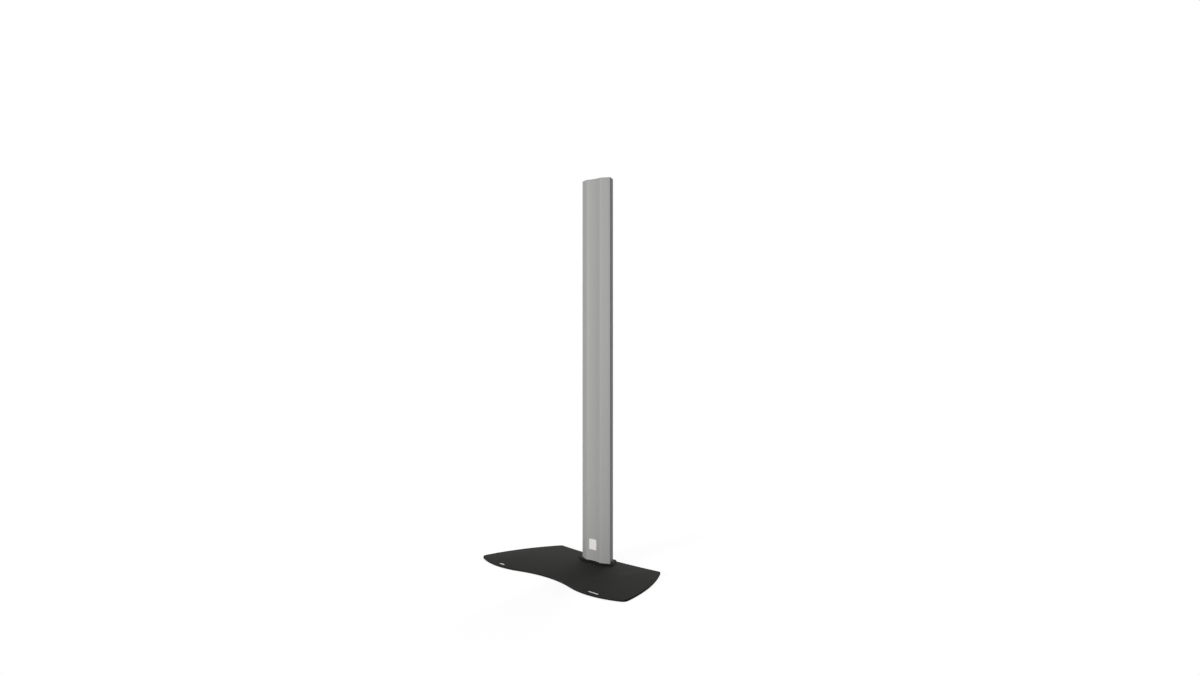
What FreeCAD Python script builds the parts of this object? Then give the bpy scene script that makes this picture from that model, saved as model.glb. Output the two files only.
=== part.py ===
import FreeCAD, Part
import math
import os
import Sketcher

# Two-section speaker stand, in millimetres.
#
# A thin steel base with a waved front edge carries two upright pins and a flat tab with an eye.
# The lower column, a hollow aluminium section with a waved face, slips over them. Two pins in its
# top take the upper column in the same way. A knurled screw in the back of the lower column locks
# each tab once it is in place.
#
# X runs across the stand, Y from the front to the back and Z up. The origin is on the floor, under
# the middle of the base's outline. The stand is drawn put together, with both screws backed off.

doc = FreeCAD.newDocument("SpeakerStand")

# Driving dimensions. Each one can be changed by itself.
SIZES = {
    "Base plate": {
        "base_width": 624,
        "base_rear_width": 433,
        "base_depth": 295,
        "base_thickness": 6,
        "base_lobe_pitch": 381,
        "base_lobe_radius": 256,
        "base_wave_depth": 30,
        "base_side_bow": 16.5,
        "base_rear_sag": 12,
        "base_front_corner": 18,
        "base_rear_corner": 10,
        "base_edge_break": 0.6,
    },
    "Floor pads": {
        "pad_radius": 9,
        "pad_height": 1,
        "pad_edge_break": 0.3,
        "pad_inset": 26,
    },
    "Pale strips on the base": {
        "strip_thickness": 0.4,
        "strip_depth": 5,
        "strip_front_inset": 11,
        "strip_right_length": 37,
        "strip_right_offset": 207,
        "strip_left_length": 20,
        "strip_left_offset": 191,
    },
    "Column section": {
        "section_length": 600,
        "column_setback": 40,
        "corner_half_width": 61.5,
        "corner_forward": 5.5,
        "ridge_half_pitch": 30,
        "ridge_forward": 20.5,
        "valley_forward": 15.5,
        "rear_half_width": 40,
        "rear_back": 30.5,
        "ridge_rounding": 12,
        "front_corner_rounding": 1.5,
        "rear_corner_rounding": 4,
        "wall": 2.5,
        "port_inset": 5.7,
        "port_wall": 2.4,
    },
    "Foot flange and top cap": {
        "flange_thickness": 4,
        "flange_overhang": 9.5,
        "flange_ridge_rounding": 14,
        "flange_corner_rounding": 2,
        "cap_thickness": 4,
        "speaker_hole_radius": 2.5,
        "speaker_hole_half_pitch": 30,
    },
    "Pins": {
        "pin_half_pitch": 13.5,
        "base_pin_radius": 7.5,
        "base_pin_height": 74,
        "base_pin_tip": 5,
        "base_pin_tip_narrowing": 3.6,
        "weld_radius": 10.5,
        "weld_height": 6,
        "joint_pin_radius": 8,
        "joint_pin_reach": 60,
        "joint_pin_grip": 55,
        "joint_pin_chamfer": 1,
        "dowel_reach": 5,
        "dowel_grip": 18,
        "dowel_tip": 0.6,
    },
    "Tabs": {
        "tab_across": 10,
        "tab_back": 20,
        "tab_thickness": 4,
        "base_tab_half_width": 8,
        "base_eye_height": 46,
        "base_eye_radius": 5,
        "joint_tab_half_width": 6.5,
        "joint_eye_outer_radius": 9,
        "joint_eye_drop": 38.4,
        "joint_eye_radius": 5,
        "joint_tab_grip": 42,
    },
    "Blocks inside the columns": {
        "block_half_width": 30,
        "block_setback": 1,
        "block_corner": 3,
        "socket_block_height": 80,
        "pin_block_height": 72,
        "joint_block_height": 76,
        "nose_radius": 11,
        "nose_height": 2.5,
        "block_mouth_chamfer": 2,
        "block_screw_offset": 24,
        "block_screw_end_inset": 18,
    },
    "Lock screws": {
        "lock_radius": 3.95,
        "lock_pitch": 1.25,
        "lock_turns": 4,
        "lock_tip_clearance": 0.65,
        "lock_tip_radius": 3,
        "lock_tip_length": 4,
        "lock_head_radius": 11,
        "lock_head_height": 9,
        "lock_head_edge": 1,
        "lock_drive_radius": 3,
        "lock_drive_depth": 4,
        "knurl_radius": 2,
        "knurl_depth": 1,
        "bush_radius": 5.5,
        "washer_radius": 8.5,
        "washer_thickness": 1.5,
    },
    "Screws": {
        "button_shank_radius": 2.5,
        "button_head_radius": 4.75,
        "button_face_radius": 3,
        "button_head_height": 2.7,
        "button_grip": 16,
        "tab_screw_low": 14,
        "tab_screw_high": 30,
        "tab_screw_grip": 11,
        "flat_shank_radius": 1.75,
        "flat_head_radius": 3.7,
        "flat_length": 16,
    },
    "Cable way": {
        "cable_slot_radius": 5,
        "cable_slot_half_pitch": 5,
        "cable_slot_above_block": 14,
        "cap_slot_radius": 6,
        "cap_slot_half_pitch": 7,
    },
    "Plain label": {
        "label_width": 30,
        "label_height": 33,
        "label_thickness": 0.4,
        "label_across": 3.4,
        "label_up": 51,
    },
    "Fits": {
        "running_gap": 0.05,
        "grip_gap": 0.02,
        "seat_gap": 0.15,
        "loose_gap": 0.5,
        "overrun": 1,
    },
}

# Sizes that follow from the driving ones.
FORMULAS = {
    "base_half_depth": "base_depth / 2",
    "base_rear_x": "base_rear_width / 2",
    "base_front_x": "base_width / 2",
    "lobe_x": "base_lobe_pitch / 2",
    "base_rear_radius": "(base_rear_x ^ 2 + base_rear_sag ^ 2) / (2 * base_rear_sag)",
    "lobe_reach_x": "base_front_x - lobe_x",
    "base_front_y": "base_half_depth - base_lobe_radius"
                    " + sqrt(base_lobe_radius ^ 2 - lobe_reach_x ^ 2)",
    "base_side_run": "sqrt((base_front_x - base_rear_x) ^ 2 + (base_half_depth + base_front_y) ^ 2)",
    "base_side_radius": "(base_side_run ^ 2 / 4 + base_side_bow ^ 2) / (2 * base_side_bow)",
    "base_valley_radius": "(lobe_x ^ 2 + base_wave_depth ^ 2) / (2 * base_wave_depth) - base_lobe_radius",
    "base_wave_x": "lobe_x * base_valley_radius / (base_lobe_radius + base_valley_radius)",
    "base_wave_y": "base_half_depth - base_wave_depth + base_valley_radius"
                   " - sqrt(base_valley_radius ^ 2 - base_wave_x ^ 2)",
    "base_top": "pad_height + base_thickness",
    "column_y": "base_half_depth - base_rear_sag - column_setback",
    "pad_front_x": "base_front_x - 2 * pad_inset",
    "pad_front_y": "base_front_y - pad_inset",
    "pad_rear_x": "base_rear_x - pad_inset",
    "pad_rear_y": "base_half_depth - pad_inset",
    "pad_valley_y": "base_half_depth - base_wave_depth - pad_inset",
    "strip_y": "base_half_depth - strip_front_inset - strip_depth / 2",
    "valley_sag": "ridge_forward - valley_forward",
    "valley_radius": "(ridge_half_pitch ^ 2 + valley_sag ^ 2) / (2 * valley_sag)",
    "valley_centre": "valley_forward + valley_radius",
    "cavity_front": "valley_forward - wall",
    "cavity_rear": "rear_back - wall",
    "flank_run": "sqrt((corner_half_width - ridge_half_pitch) ^ 2 + (ridge_forward - corner_forward) ^ 2)",
    "flank_normal_x": "(corner_forward - ridge_forward) / flank_run",
    "flank_normal_y": "(corner_half_width - ridge_half_pitch) / flank_run",
    "side_run": "sqrt((corner_half_width - rear_half_width) ^ 2 + (rear_back + corner_forward) ^ 2)",
    "side_normal_x": "-(rear_back + corner_forward) / side_run",
    "side_normal_y": "(rear_half_width - corner_half_width) / side_run",
    "front_turn": "1 + flank_normal_x * side_normal_x + flank_normal_y * side_normal_y",
    "rear_turn": "1 - side_normal_y",
    "front_port_x": "corner_half_width + port_inset * (flank_normal_x + side_normal_x) / front_turn",
    "front_port_y": "corner_forward - port_inset * (flank_normal_y + side_normal_y) / front_turn",
    "rear_port_x": "rear_half_width + port_inset * side_normal_x / rear_turn",
    "rear_port_y": "rear_back + port_inset * (side_normal_y - 1) / rear_turn",
    "base_pin_shoulder": "base_pin_height - base_pin_tip",
    "base_pin_tip_radius": "base_pin_radius - base_pin_tip_narrowing",
    "joint_pin_length": "joint_pin_grip + joint_pin_reach",
    "dowel_length": "dowel_grip + dowel_reach",
    "base_socket_radius": "base_pin_radius + running_gap",
    "joint_socket_radius": "joint_pin_radius + running_gap",
    "joint_grip_radius": "joint_pin_radius + grip_gap",
    "block_front": "cavity_front - seat_gap",
    "block_rear": "cavity_rear - seat_gap",
    "flange_window_radius": "weld_radius + loose_gap",
    "recess_radius": "nose_radius + loose_gap",
    "recess_depth": "nose_height + loose_gap",
    "tab_front": "tab_back - tab_thickness / 2",
    "tab_rear": "tab_back + tab_thickness / 2",
    "slot_front": "tab_front - loose_gap",
    "slot_rear": "tab_rear + loose_gap",
    "channel_rear": "block_rear + overrun",
    "base_slot_left": "tab_across - base_tab_half_width - loose_gap",
    "base_slot_right": "tab_across + base_tab_half_width + loose_gap",
    "base_slot_top": "base_eye_height + base_tab_half_width + loose_gap",
    "joint_slot_left": "tab_across - joint_eye_outer_radius - loose_gap",
    "joint_slot_right": "tab_across + joint_eye_outer_radius + loose_gap",
    "joint_slot_depth": "joint_eye_drop + joint_eye_outer_radius + loose_gap",
    "joint_bar_left": "tab_across - joint_tab_half_width - running_gap",
    "joint_bar_right": "tab_across + joint_tab_half_width + running_gap",
    "lower_foot": "base_top + flange_thickness",
    "joint_level": "lower_foot + section_length",
    "seat_level": "joint_level + section_length",
    "stand_top": "seat_level + cap_thickness",
    "top_eye_level": "joint_level - joint_eye_drop",
    "lower_eye_high": "section_length - joint_eye_drop",
    "pin_block_level": "section_length - block_setback - pin_block_height",
    "pin_bore_depth": "joint_pin_grip - block_setback",
    "pin_recess_depth": "recess_depth - block_setback",
    "pin_slot_depth": "joint_slot_depth - block_setback",
    "base_slot_height": "base_slot_top - flange_thickness",
    "nose_length": "nose_height + block_setback",
    "bar_slot_height": "joint_tab_grip + running_gap - block_setback",
    "lower_screw_low": "block_screw_end_inset",
    "lower_screw_high": "pin_block_level + block_screw_end_inset",
    "joint_block_screw": "joint_block_height - block_screw_end_inset",
    "upper_screw_level": "block_setback + joint_block_screw",
    "tab_hole_low": "tab_screw_low - block_setback",
    "tab_hole_high": "tab_screw_high - block_setback",
    "joint_tab_length": "joint_eye_drop + joint_tab_grip",
    "tab_screw_low_level": "joint_eye_drop + tab_screw_low",
    "tab_screw_high_level": "joint_eye_drop + tab_screw_high",
    "button_hole_front": "rear_back - button_grip - loose_gap",
    "tab_screw_front": "tab_rear - tab_screw_grip",
    "tab_hole_front": "tab_screw_front - loose_gap",
    "base_eye_level": "base_eye_height - flange_thickness",
    "lock_travel": "lock_pitch * lock_turns",
    "lock_bore_radius": "lock_radius + running_gap",
    "lock_tip_back": "slot_rear + lock_tip_clearance",
    "washer_front": "rear_back + lock_travel + seat_gap",
    "lock_head_front": "washer_front + washer_thickness",
    "lock_length": "lock_head_front - lock_tip_back",
    "lock_full_length": "lock_length + lock_head_height",
    "lock_rim_level": "lock_full_length - lock_head_edge",
    "lock_face_radius": "lock_head_radius - lock_head_edge",
    "lock_drive_half": "lock_drive_radius / 2",
    "lock_drive_rise": "lock_drive_radius * sqrt(3) / 2",
    "knurl_centre": "lock_head_radius + knurl_radius - knurl_depth",
    "washer_bore_radius": "lock_radius + seat_gap",
    "bush_length": "rear_back - slot_rear",
    "button_hole_radius": "button_shank_radius + running_gap",
    "flat_hole_radius": "flat_shank_radius + running_gap",
    "port_radius": "flat_hole_radius + port_wall",
    "dowel_radius": "flat_shank_radius - running_gap",
    "button_length": "button_grip + button_head_height",
    "tab_screw_length": "tab_screw_grip + button_head_height",
    "flat_head_height": "flat_head_radius - flat_shank_radius",
    "flat_shoulder": "flat_length - flat_head_height",
    "cable_slot_level": "socket_block_height + cable_slot_above_block",
    "label_left": "label_width / 2 + label_across",
    "label_right": "label_width / 2 - label_across",
    "label_skin_radius": "valley_radius - label_thickness",
    "label_left_back": "valley_centre - sqrt(valley_radius ^ 2 - label_left ^ 2)",
    "label_right_back": "valley_centre - sqrt(valley_radius ^ 2 - label_right ^ 2)",
    "label_left_front": "valley_centre - sqrt(label_skin_radius ^ 2 - label_left ^ 2)",
    "label_right_front": "valley_centre - sqrt(label_skin_radius ^ 2 - label_right ^ 2)",
}

sheet = doc.addObject("Spreadsheet::Sheet", "Dimensions")


def fill_sheet():
    row = 1
    for group, sizes in SIZES.items():
        sheet.set(f"A{row}", group)
        row += 1
        for alias, value in sizes.items():
            sheet.set(f"A{row}", alias)
            sheet.set(f"B{row}", str(value))
            sheet.setAlias(f"B{row}", alias)
            row += 1
    sheet.set(f"A{row}", "Derived")
    row += 1
    for alias, formula in FORMULAS.items():
        sheet.set(f"A{row}", alias)
        sheet.set(f"B{row}", f"={formula}")
        sheet.setAlias(f"B{row}", alias)
        row += 1
    doc.recompute()


fill_sheet()

UP = FreeCAD.Vector(0, 0, 1)
ACROSS = FreeCAD.Vector(1, 0, 0)
ORIGIN = (-1, 1)
UPRIGHT_AXIS, ACROSS_AXIS = range(-2, 0)
START, END, CENTRE = range(1, 4)
HALF_TURN = math.pi
FULL_TURN_DEG = 360
HALF_TURN_DEG = 180
KNURLS = 10
SAME = 1e-4
CHOSEN = {}


def size(ref):
    """Value of a sheet alias, with an optional leading minus, or of a plain zero."""
    if ref == 0:
        return 0.0
    if ref.startswith("-"):
        return -float(sheet.get(ref[1:]))
    return float(sheet.get(ref))


def bound(ref):
    """The expression that ties a property to a sheet alias."""
    if ref.startswith("-"):
        return f"-Dimensions.{ref[1:]}"
    return f"Dimensions.{ref}"


# Sketch helpers. A place is a pair of aliases, each with an optional minus, or zero.

def dimension(sketch, kind, refs, alias):
    index = sketch.addConstraint(Sketcher.Constraint(kind, *refs, size(alias)))
    sketch.setExpression(f"Constraints[{index}]", bound(alias))


def locate(sketch, geo, pos, place):
    for kind, ref, axis in zip(("DistanceX", "DistanceY"), place, (UPRIGHT_AXIS, ACROSS_AXIS)):
        if ref == 0:
            sketch.addConstraint(Sketcher.Constraint("PointOnObject", geo, pos, axis))
        elif ref.startswith("-"):
            dimension(sketch, kind, (geo, pos, *ORIGIN), ref[1:])
        else:
            dimension(sketch, kind, (*ORIGIN, geo, pos), ref)


def point(place):
    return FreeCAD.Vector(size(place[0]), size(place[1]), 0)


def arc_between(start, end, radius, side):
    """Arc from start to end, with its centre on the left (side 1) or right (side -1) of the way."""
    chord = end - start
    rise = math.sqrt(radius ** 2 - (chord.Length / 2) ** 2)
    centre = (start + end) / 2 + UP.cross(chord).normalize() * rise * side
    first, last = (start, end) if side > 0 else (end, start)
    angles = [math.atan2(p.y - centre.y, p.x - centre.x) for p in (first, last)]
    return Part.ArcOfCircle(Part.Circle(centre, UP, radius), *angles)


def outline(sketch, places, arcs=None):
    """Closed outline through places. arcs gives an edge's number its (radius, side)."""
    arcs = arcs or {}
    edges = []
    for number, place in enumerate(places):
        start = point(place)
        end = point(places[(number + 1) % len(places)])
        if number in arcs:
            radius, side = arcs[number]
            geo = sketch.addGeometry(arc_between(start, end, size(radius), side))
            dimension(sketch, "Radius", (geo,), radius)
            edges.append((geo, START, END) if side > 0 else (geo, END, START))
        else:
            geo = sketch.addGeometry(Part.LineSegment(start, end))
            edges.append((geo, START, END))
    for number, (geo, first, last) in enumerate(edges):
        following = edges[(number + 1) % len(edges)]
        joint = Sketcher.Constraint("Coincident", geo, last, following[0], following[1])
        sketch.addConstraint(joint)
        locate(sketch, geo, first, places[number])


def circle(sketch, radius, place=(0, 0)):
    geo = sketch.addGeometry(Part.Circle(point(place), UP, size(radius)))
    dimension(sketch, "Radius", (geo,), radius)
    locate(sketch, geo, CENTRE, place)


def stadium(sketch, half_pitch, radius, level=0):
    """Two half circles joined by straight sides, lying across the sketch."""
    centres = [FreeCAD.Vector(x, size(level), 0) for x in (size(half_pitch), -size(half_pitch))]
    rise = FreeCAD.Vector(0, size(radius), 0)
    turns = [(-HALF_TURN / 2, HALF_TURN / 2), (HALF_TURN / 2, HALF_TURN * 3 / 2)]
    right, left = [sketch.addGeometry(Part.ArcOfCircle(Part.Circle(c, UP, size(radius)), *turn))
                   for c, turn in zip(centres, turns)]
    top = sketch.addGeometry(Part.LineSegment(centres[0] + rise, centres[1] + rise))
    bottom = sketch.addGeometry(Part.LineSegment(centres[1] - rise, centres[0] - rise))
    loop = (right, top, left, bottom)
    for geo, following in zip(loop, loop[1:] + loop[:1]):
        sketch.addConstraint(Sketcher.Constraint("Tangent", geo, END, following, START))
    dimension(sketch, "Radius", (right,), radius)
    sketch.addConstraint(Sketcher.Constraint("Equal", right, left))
    locate(sketch, right, CENTRE, (half_pitch, level))
    locate(sketch, left, CENTRE, (f"-{half_pitch}", level))


def box_outline(sketch, left, right, low, high):
    outline(sketch, [(left, low), (right, low), (right, high), (left, high)])


# Feature helpers. Each one adds a step to a body and checks that it changed the solid.

def new_body(label):
    body = doc.addObject("PartDesign::Body", label)
    body.Label = label
    return body


def new_sketch(body, what, plane="XY_Plane", offset=None):
    sketch = body.newObject("Sketcher::SketchObject", f"{body.Name}_{what}_sketch")
    support = next(f for f in body.Origin.OriginFeatures if f.Role == plane)
    sketch.AttachmentSupport = [(support, "")]
    sketch.MapMode = "FlatFace"
    if offset:
        sketch.setExpression("AttachmentOffset.Base.z", bound(offset))
    return sketch


def settle(body, feature, grows, base=None):
    """Recompute, and stop if the step did not add (or remove) material."""
    base = base or feature.BaseFeature
    before = base.Shape.Volume if base else 0.0
    doc.recompute()
    change = feature.Shape.Volume - before
    if change == 0 or (change > 0) != grows:
        raise RuntimeError(f"{body.Label}: {feature.Name} changed the volume by {change:.3f}")
    return feature


def pad(body, sketch, what, length, backwards=False, middle=False):
    feature = body.newObject("PartDesign::Pad", f"{body.Name}_{what}")
    feature.Profile = sketch
    feature.setExpression("Length", bound(length))
    feature.Reversed = backwards
    if middle:
        feature.SideType = "Symmetric"
    return settle(body, feature, True)


def pocket(body, sketch, what, depth=None, backwards=False):
    feature = body.newObject("PartDesign::Pocket", f"{body.Name}_{what}")
    feature.Profile = sketch
    if depth:
        feature.setExpression("Length", bound(depth))
    else:
        feature.Type = "ThroughAll"
    feature.Reversed = backwards
    return settle(body, feature, False)


def revolve(body, sketch, what):
    feature = body.newObject("PartDesign::Revolution", f"{body.Name}_{what}")
    feature.Profile = sketch
    feature.ReferenceAxis = (sketch, ["V_Axis"])
    feature.Angle = FULL_TURN_DEG
    return settle(body, feature, True)


def dress(body, kind, what, edges, base, measure, amount):
    """Fillet or chamfer of the named edges of base."""
    feature = body.newObject(f"PartDesign::{kind}", f"{body.Name}_{what}")
    feature.Base = (base, edges)
    feature.setExpression(measure, bound(amount))
    doc.recompute()
    return feature


def upright_edges(shape, places):
    """Names of the edges that stand upright at any of the places."""
    names = []
    for number, edge in enumerate(shape.Edges, START):
        box = edge.BoundBox
        if max(box.XLength, box.YLength) > SAME:
            continue
        if any(abs(box.XMin - size(x)) < SAME and abs(box.YMin - size(y)) < SAME for x, y in places):
            names.append(f"Edge{number}")
    return names


def edges_at_level(shape, level):
    """Names of the edges that lie at one height."""
    return [f"Edge{number}" for number, edge in enumerate(shape.Edges, START)
            if abs(edge.BoundBox.ZMin - level) < SAME and abs(edge.BoundBox.ZMax - level) < SAME]


def mirrored(places):
    return places + [(f"-{x}", y) for x, y in places]


def put(item, x=0, y=0, z=0):
    """Move a finished item to its place; each coordinate is an expression over the sheet."""
    for axis, value in zip("xyz", (x, y, z)):
        if value != 0:
            item.setExpression(f"Placement.Base.{axis}", value)
    CHOSEN[item.Label] = item
    return item


def over(*aliases):
    """Sum of sheet aliases as an expression."""
    return " + ".join(bound(alias) for alias in aliases)


# Base plate

def base_plate():
    body = new_body("base_plate")
    sketch = new_sketch(body, "outline")
    outline(sketch, [
        ("base_rear_x", "base_half_depth"),
        ("-base_rear_x", "base_half_depth"),
        ("-base_front_x", "-base_front_y"),
        ("-base_wave_x", "-base_wave_y"),
        ("base_wave_x", "-base_wave_y"),
        ("base_front_x", "-base_front_y"),
    ], {
        0: ("base_rear_radius", -1),
        1: ("base_side_radius", 1),
        2: ("base_lobe_radius", 1),
        3: ("base_valley_radius", -1),
        4: ("base_lobe_radius", 1),
        5: ("base_side_radius", 1),
    })
    plate = pad(body, sketch, "plate", "base_thickness")
    front = upright_edges(plate.Shape, mirrored([("base_front_x", "-base_front_y")]))
    plate = dress(body, "Fillet", "front_corners", front, plate, "Radius", "base_front_corner")
    rear = upright_edges(plate.Shape, mirrored([("base_rear_x", "base_half_depth")]))
    plate = dress(body, "Fillet", "rear_corners", rear, plate, "Radius", "base_rear_corner")
    rim = edges_at_level(plate.Shape, size("base_thickness"))
    dress(body, "Chamfer", "edge_break", rim, plate, "Size", "base_edge_break")
    put(body, z=over("pad_height"))


def floor_pads():
    places = {
        "front_left": ("-pad_front_x", "-pad_front_y"),
        "front_right": ("pad_front_x", "-pad_front_y"),
        "front_middle": (0, "-pad_valley_y"),
        "rear_left": ("-pad_rear_x", "pad_rear_y"),
        "rear_right": ("pad_rear_x", "pad_rear_y"),
    }
    for name, place in places.items():
        body = new_body(f"floor_pad_{name}")
        sketch = new_sketch(body, "disc")
        circle(sketch, "pad_radius")
        disc = pad(body, sketch, "disc", "pad_height")
        rim = edges_at_level(disc.Shape, 0)
        dress(body, "Chamfer", "edge_break", rim, disc, "Size", "pad_edge_break")
        put(body, *[bound(ref) if ref else 0 for ref in place])


def pale_strips():
    for name, sign in (("left", "-"), ("right", "")):
        strip = doc.addObject("Part::Box", f"pale_strip_{name}")
        strip.Label = f"pale_strip_{name}"
        strip.setExpression("Length", bound(f"strip_{name}_length"))
        strip.setExpression("Width", bound("strip_depth"))
        strip.setExpression("Height", bound("strip_thickness"))
        middle = f"{sign}{bound(f'strip_{name}_offset')} - {bound(f'strip_{name}_length')} / 2"
        put(strip, middle, f"-{bound('strip_y')} - {bound('strip_depth')} / 2", over("base_top"))


# Pins and tabs

def turned_piece(label, places, arcs=None):
    """Body turned about the upright axis from the outline of its right half."""
    body = new_body(label)
    sketch = new_sketch(body, "turned", "XZ_Plane")
    outline(sketch, places, arcs)
    revolve(body, sketch, "turned")
    return body


def sides():
    """The two sides of the stand, with the sign that an X place has there."""
    return (("left", "-"), ("right", ""))


def base_pins():
    for name, sign in sides():
        body = turned_piece(f"base_pin_{name}", [
            (0, 0),
            ("weld_radius", 0),
            ("base_pin_radius", "weld_height"),
            ("base_pin_radius", "base_pin_shoulder"),
            ("base_pin_tip_radius", "base_pin_height"),
            (0, "base_pin_height"),
        ])
        put(body, sign + bound("pin_half_pitch"), over("column_y"), over("base_top"))


def joint_pins():
    """Pins that stand out of the lower column's top."""
    for name, sign in sides():
        body = new_body(f"joint_pin_{name}")
        sketch = new_sketch(body, "round")
        circle(sketch, "joint_pin_radius")
        pin = pad(body, sketch, "bar", "joint_pin_length")
        rim = edges_at_level(pin.Shape, size("joint_pin_length"))
        dress(body, "Chamfer", "end", rim, pin, "Size", "joint_pin_chamfer")
        level = over("joint_level") + " - " + bound("joint_pin_grip")
        put(body, sign + bound("pin_half_pitch"), over("column_y"), level)


def joint_dowels():
    for name, sign in sides():
        body = new_body(f"joint_dowel_{name}")
        sketch = new_sketch(body, "round")
        circle(sketch, "dowel_radius")
        pin = pad(body, sketch, "bar", "dowel_length")
        rim = edges_at_level(pin.Shape, size("dowel_length"))
        dress(body, "Chamfer", "tip", rim, pin, "Size", "dowel_tip")
        level = over("joint_level") + " - " + bound("dowel_grip")
        behind = over("column_y") + " - " + bound("front_port_y")
        put(body, sign + bound("front_port_x"), behind, level)


def tab(label, half_width, eye_outer, eye_hole, bar_low, bar_high):
    """Flat bar with an eye; its origin is the eye's centre and the bar runs up or down from it."""
    body = new_body(label)
    sketch = new_sketch(body, "bar", "XZ_Plane")
    box_outline(sketch, f"-{half_width}", half_width, bar_low, bar_high)
    pad(body, sketch, "bar", "tab_thickness", middle=True)
    sketch = new_sketch(body, "ring", "XZ_Plane")
    circle(sketch, eye_outer)
    pad(body, sketch, "ring", "tab_thickness", middle=True)
    sketch = new_sketch(body, "eye", "XZ_Plane", "tab_thickness")
    circle(sketch, eye_hole)
    pocket(body, sketch, "eye")
    return body


def base_tab():
    body = tab("base_tab", "base_tab_half_width", "base_tab_half_width", "base_eye_radius",
               "-base_eye_height", 0)
    put(body, over("tab_across"), over("column_y", "tab_back"), over("base_top", "base_eye_height"))


def joint_tab():
    """Tab that hangs out of the upper column's foot, with two threaded holes in its bar."""
    body = tab("joint_tab", "joint_tab_half_width", "joint_eye_outer_radius", "joint_eye_radius",
               0, "joint_tab_length")
    sketch = new_sketch(body, "holes", "XZ_Plane", "tab_thickness")
    for level in ("tab_screw_low_level", "tab_screw_high_level"):
        circle(sketch, "button_hole_radius", (0, level))
    pocket(body, sketch, "holes")
    level = over("top_eye_level")
    put(body, over("tab_across"), over("column_y", "tab_back"), level)


# Columns

def section(sketch):
    """Outline of the column: a shallow valley between two ridges, bevelled flanks, tapered sides."""
    outline(sketch, [
        ("ridge_half_pitch", "-ridge_forward"),
        ("corner_half_width", "-corner_forward"),
        ("rear_half_width", "rear_back"),
        ("-rear_half_width", "rear_back"),
        ("-corner_half_width", "-corner_forward"),
        ("-ridge_half_pitch", "-ridge_forward"),
    ], {5: ("valley_radius", -1)})


RIDGES = mirrored([("ridge_half_pitch", "-ridge_forward")])
FRONT_CORNERS = mirrored([("corner_half_width", "-corner_forward")])
REAR_CORNERS = mirrored([("rear_half_width", "rear_back")])


def round_uprights(body, solid, what, places, amount):
    edges = upright_edges(solid.Shape, places)
    return dress(body, "Fillet", what, edges, solid, "Radius", amount)


def port_places():
    """Centres of the four screw ports, which follow the section's corners."""
    return mirrored([("front_port_x", "-front_port_y"), ("rear_port_x", "rear_port_y")])


def rear_holes(body, what, radius, places):
    """Round holes through the rear wall only: the sketch lies in the hollow and cuts backwards."""
    sketch = new_sketch(body, what, "XZ_Plane")
    for place in places:
        circle(sketch, radius, place)
    pocket(body, sketch, what)


def column(label):
    """Hollow extrusion with a screw port in each corner, open at both ends."""
    body = new_body(label)
    sketch = new_sketch(body, "section")
    section(sketch)
    solid = pad(body, sketch, "bar", "section_length")
    solid = round_uprights(body, solid, "ridges", RIDGES, "ridge_rounding")
    solid = round_uprights(body, solid, "rear_corners", REAR_CORNERS, "rear_corner_rounding")
    ends = [f"Face{number}" for number, face in enumerate(solid.Shape.Faces, START)
            if face.BoundBox.ZLength < SAME]
    hollow = body.newObject("PartDesign::Thickness", f"{label}_hollow")
    hollow.Base = (solid, ends)
    hollow.Reversed = True
    hollow.setExpression("Value", bound("wall"))
    settle(body, hollow, False)
    round_uprights(body, hollow, "front_corners", FRONT_CORNERS, "front_corner_rounding")
    sketch = new_sketch(body, "ports")
    for place in port_places():
        circle(sketch, "port_radius", place)
    pad(body, sketch, "ports", "section_length")
    sketch = new_sketch(body, "port_holes")
    for place in port_places():
        circle(sketch, "flat_hole_radius", place)
    pocket(body, sketch, "port_holes", backwards=True)
    return body


def screw_pair(level):
    return mirrored([("block_screw_offset", level)])


def lower_column():
    body = column("lower_column")
    rear_holes(body, "block_holes", "button_hole_radius",
               screw_pair("lower_screw_low") + screw_pair("lower_screw_high"))
    rear_holes(body, "lock_holes", "bush_radius",
               [("tab_across", "base_eye_level"), ("tab_across", "lower_eye_high")])
    sketch = new_sketch(body, "cable_slot", "XZ_Plane")
    stadium(sketch, "cable_slot_half_pitch", "cable_slot_radius", "cable_slot_level")
    pocket(body, sketch, "cable_slot")
    put(body, 0, over("column_y"), over("lower_foot"))


def upper_column():
    body = column("upper_column")
    rear_holes(body, "block_holes", "button_hole_radius", screw_pair("upper_screw_level"))
    put(body, 0, over("column_y"), over("joint_level"))


def part_object(kind, name, **links):
    item = doc.addObject(f"Part::{kind}", name)
    for key, value in links.items():
        setattr(item, key, value)
    return item


def tool_sketch(name):
    """Free sketch in the XY plane, for an extrusion."""
    return doc.addObject("Sketcher::SketchObject", name)


def prism(name, sketch, height):
    item = part_object("Extrusion", name, Base=sketch, DirMode="Custom", Dir=UP, Solid=True)
    item.setExpression("LengthFwd", bound(height))
    return item


def drilled_cone(name, place, radius, head_radius, height, from_top):
    """Cutter for a countersunk hole: a cylinder and a cone whose wide end is on one face."""
    hole = part_object("Cylinder", f"{name}_hole")
    hole.setExpression("Radius", bound(radius))
    hole.setExpression("Height", f"{bound(height)} + 2 * {bound('overrun')}")
    hole.setExpression("Placement.Base.z", f"-{bound('overrun')}")
    sink = part_object("Cone", f"{name}_sink")
    depth = f"({bound(head_radius)} - {bound(radius)})"
    wide, narrow = ("Radius2", "Radius1") if from_top else ("Radius1", "Radius2")
    sink.setExpression(wide, bound(head_radius))
    sink.setExpression(narrow, bound(radius))
    sink.setExpression("Height", depth)
    if from_top:
        sink.setExpression("Placement.Base.z", f"{bound(height)} - {depth}")
    for item in (hole, sink):
        item.setExpression("Placement.Base.x", bound(place[0]))
        item.setExpression("Placement.Base.y", bound(place[1]))
    return [hole, sink]


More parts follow.
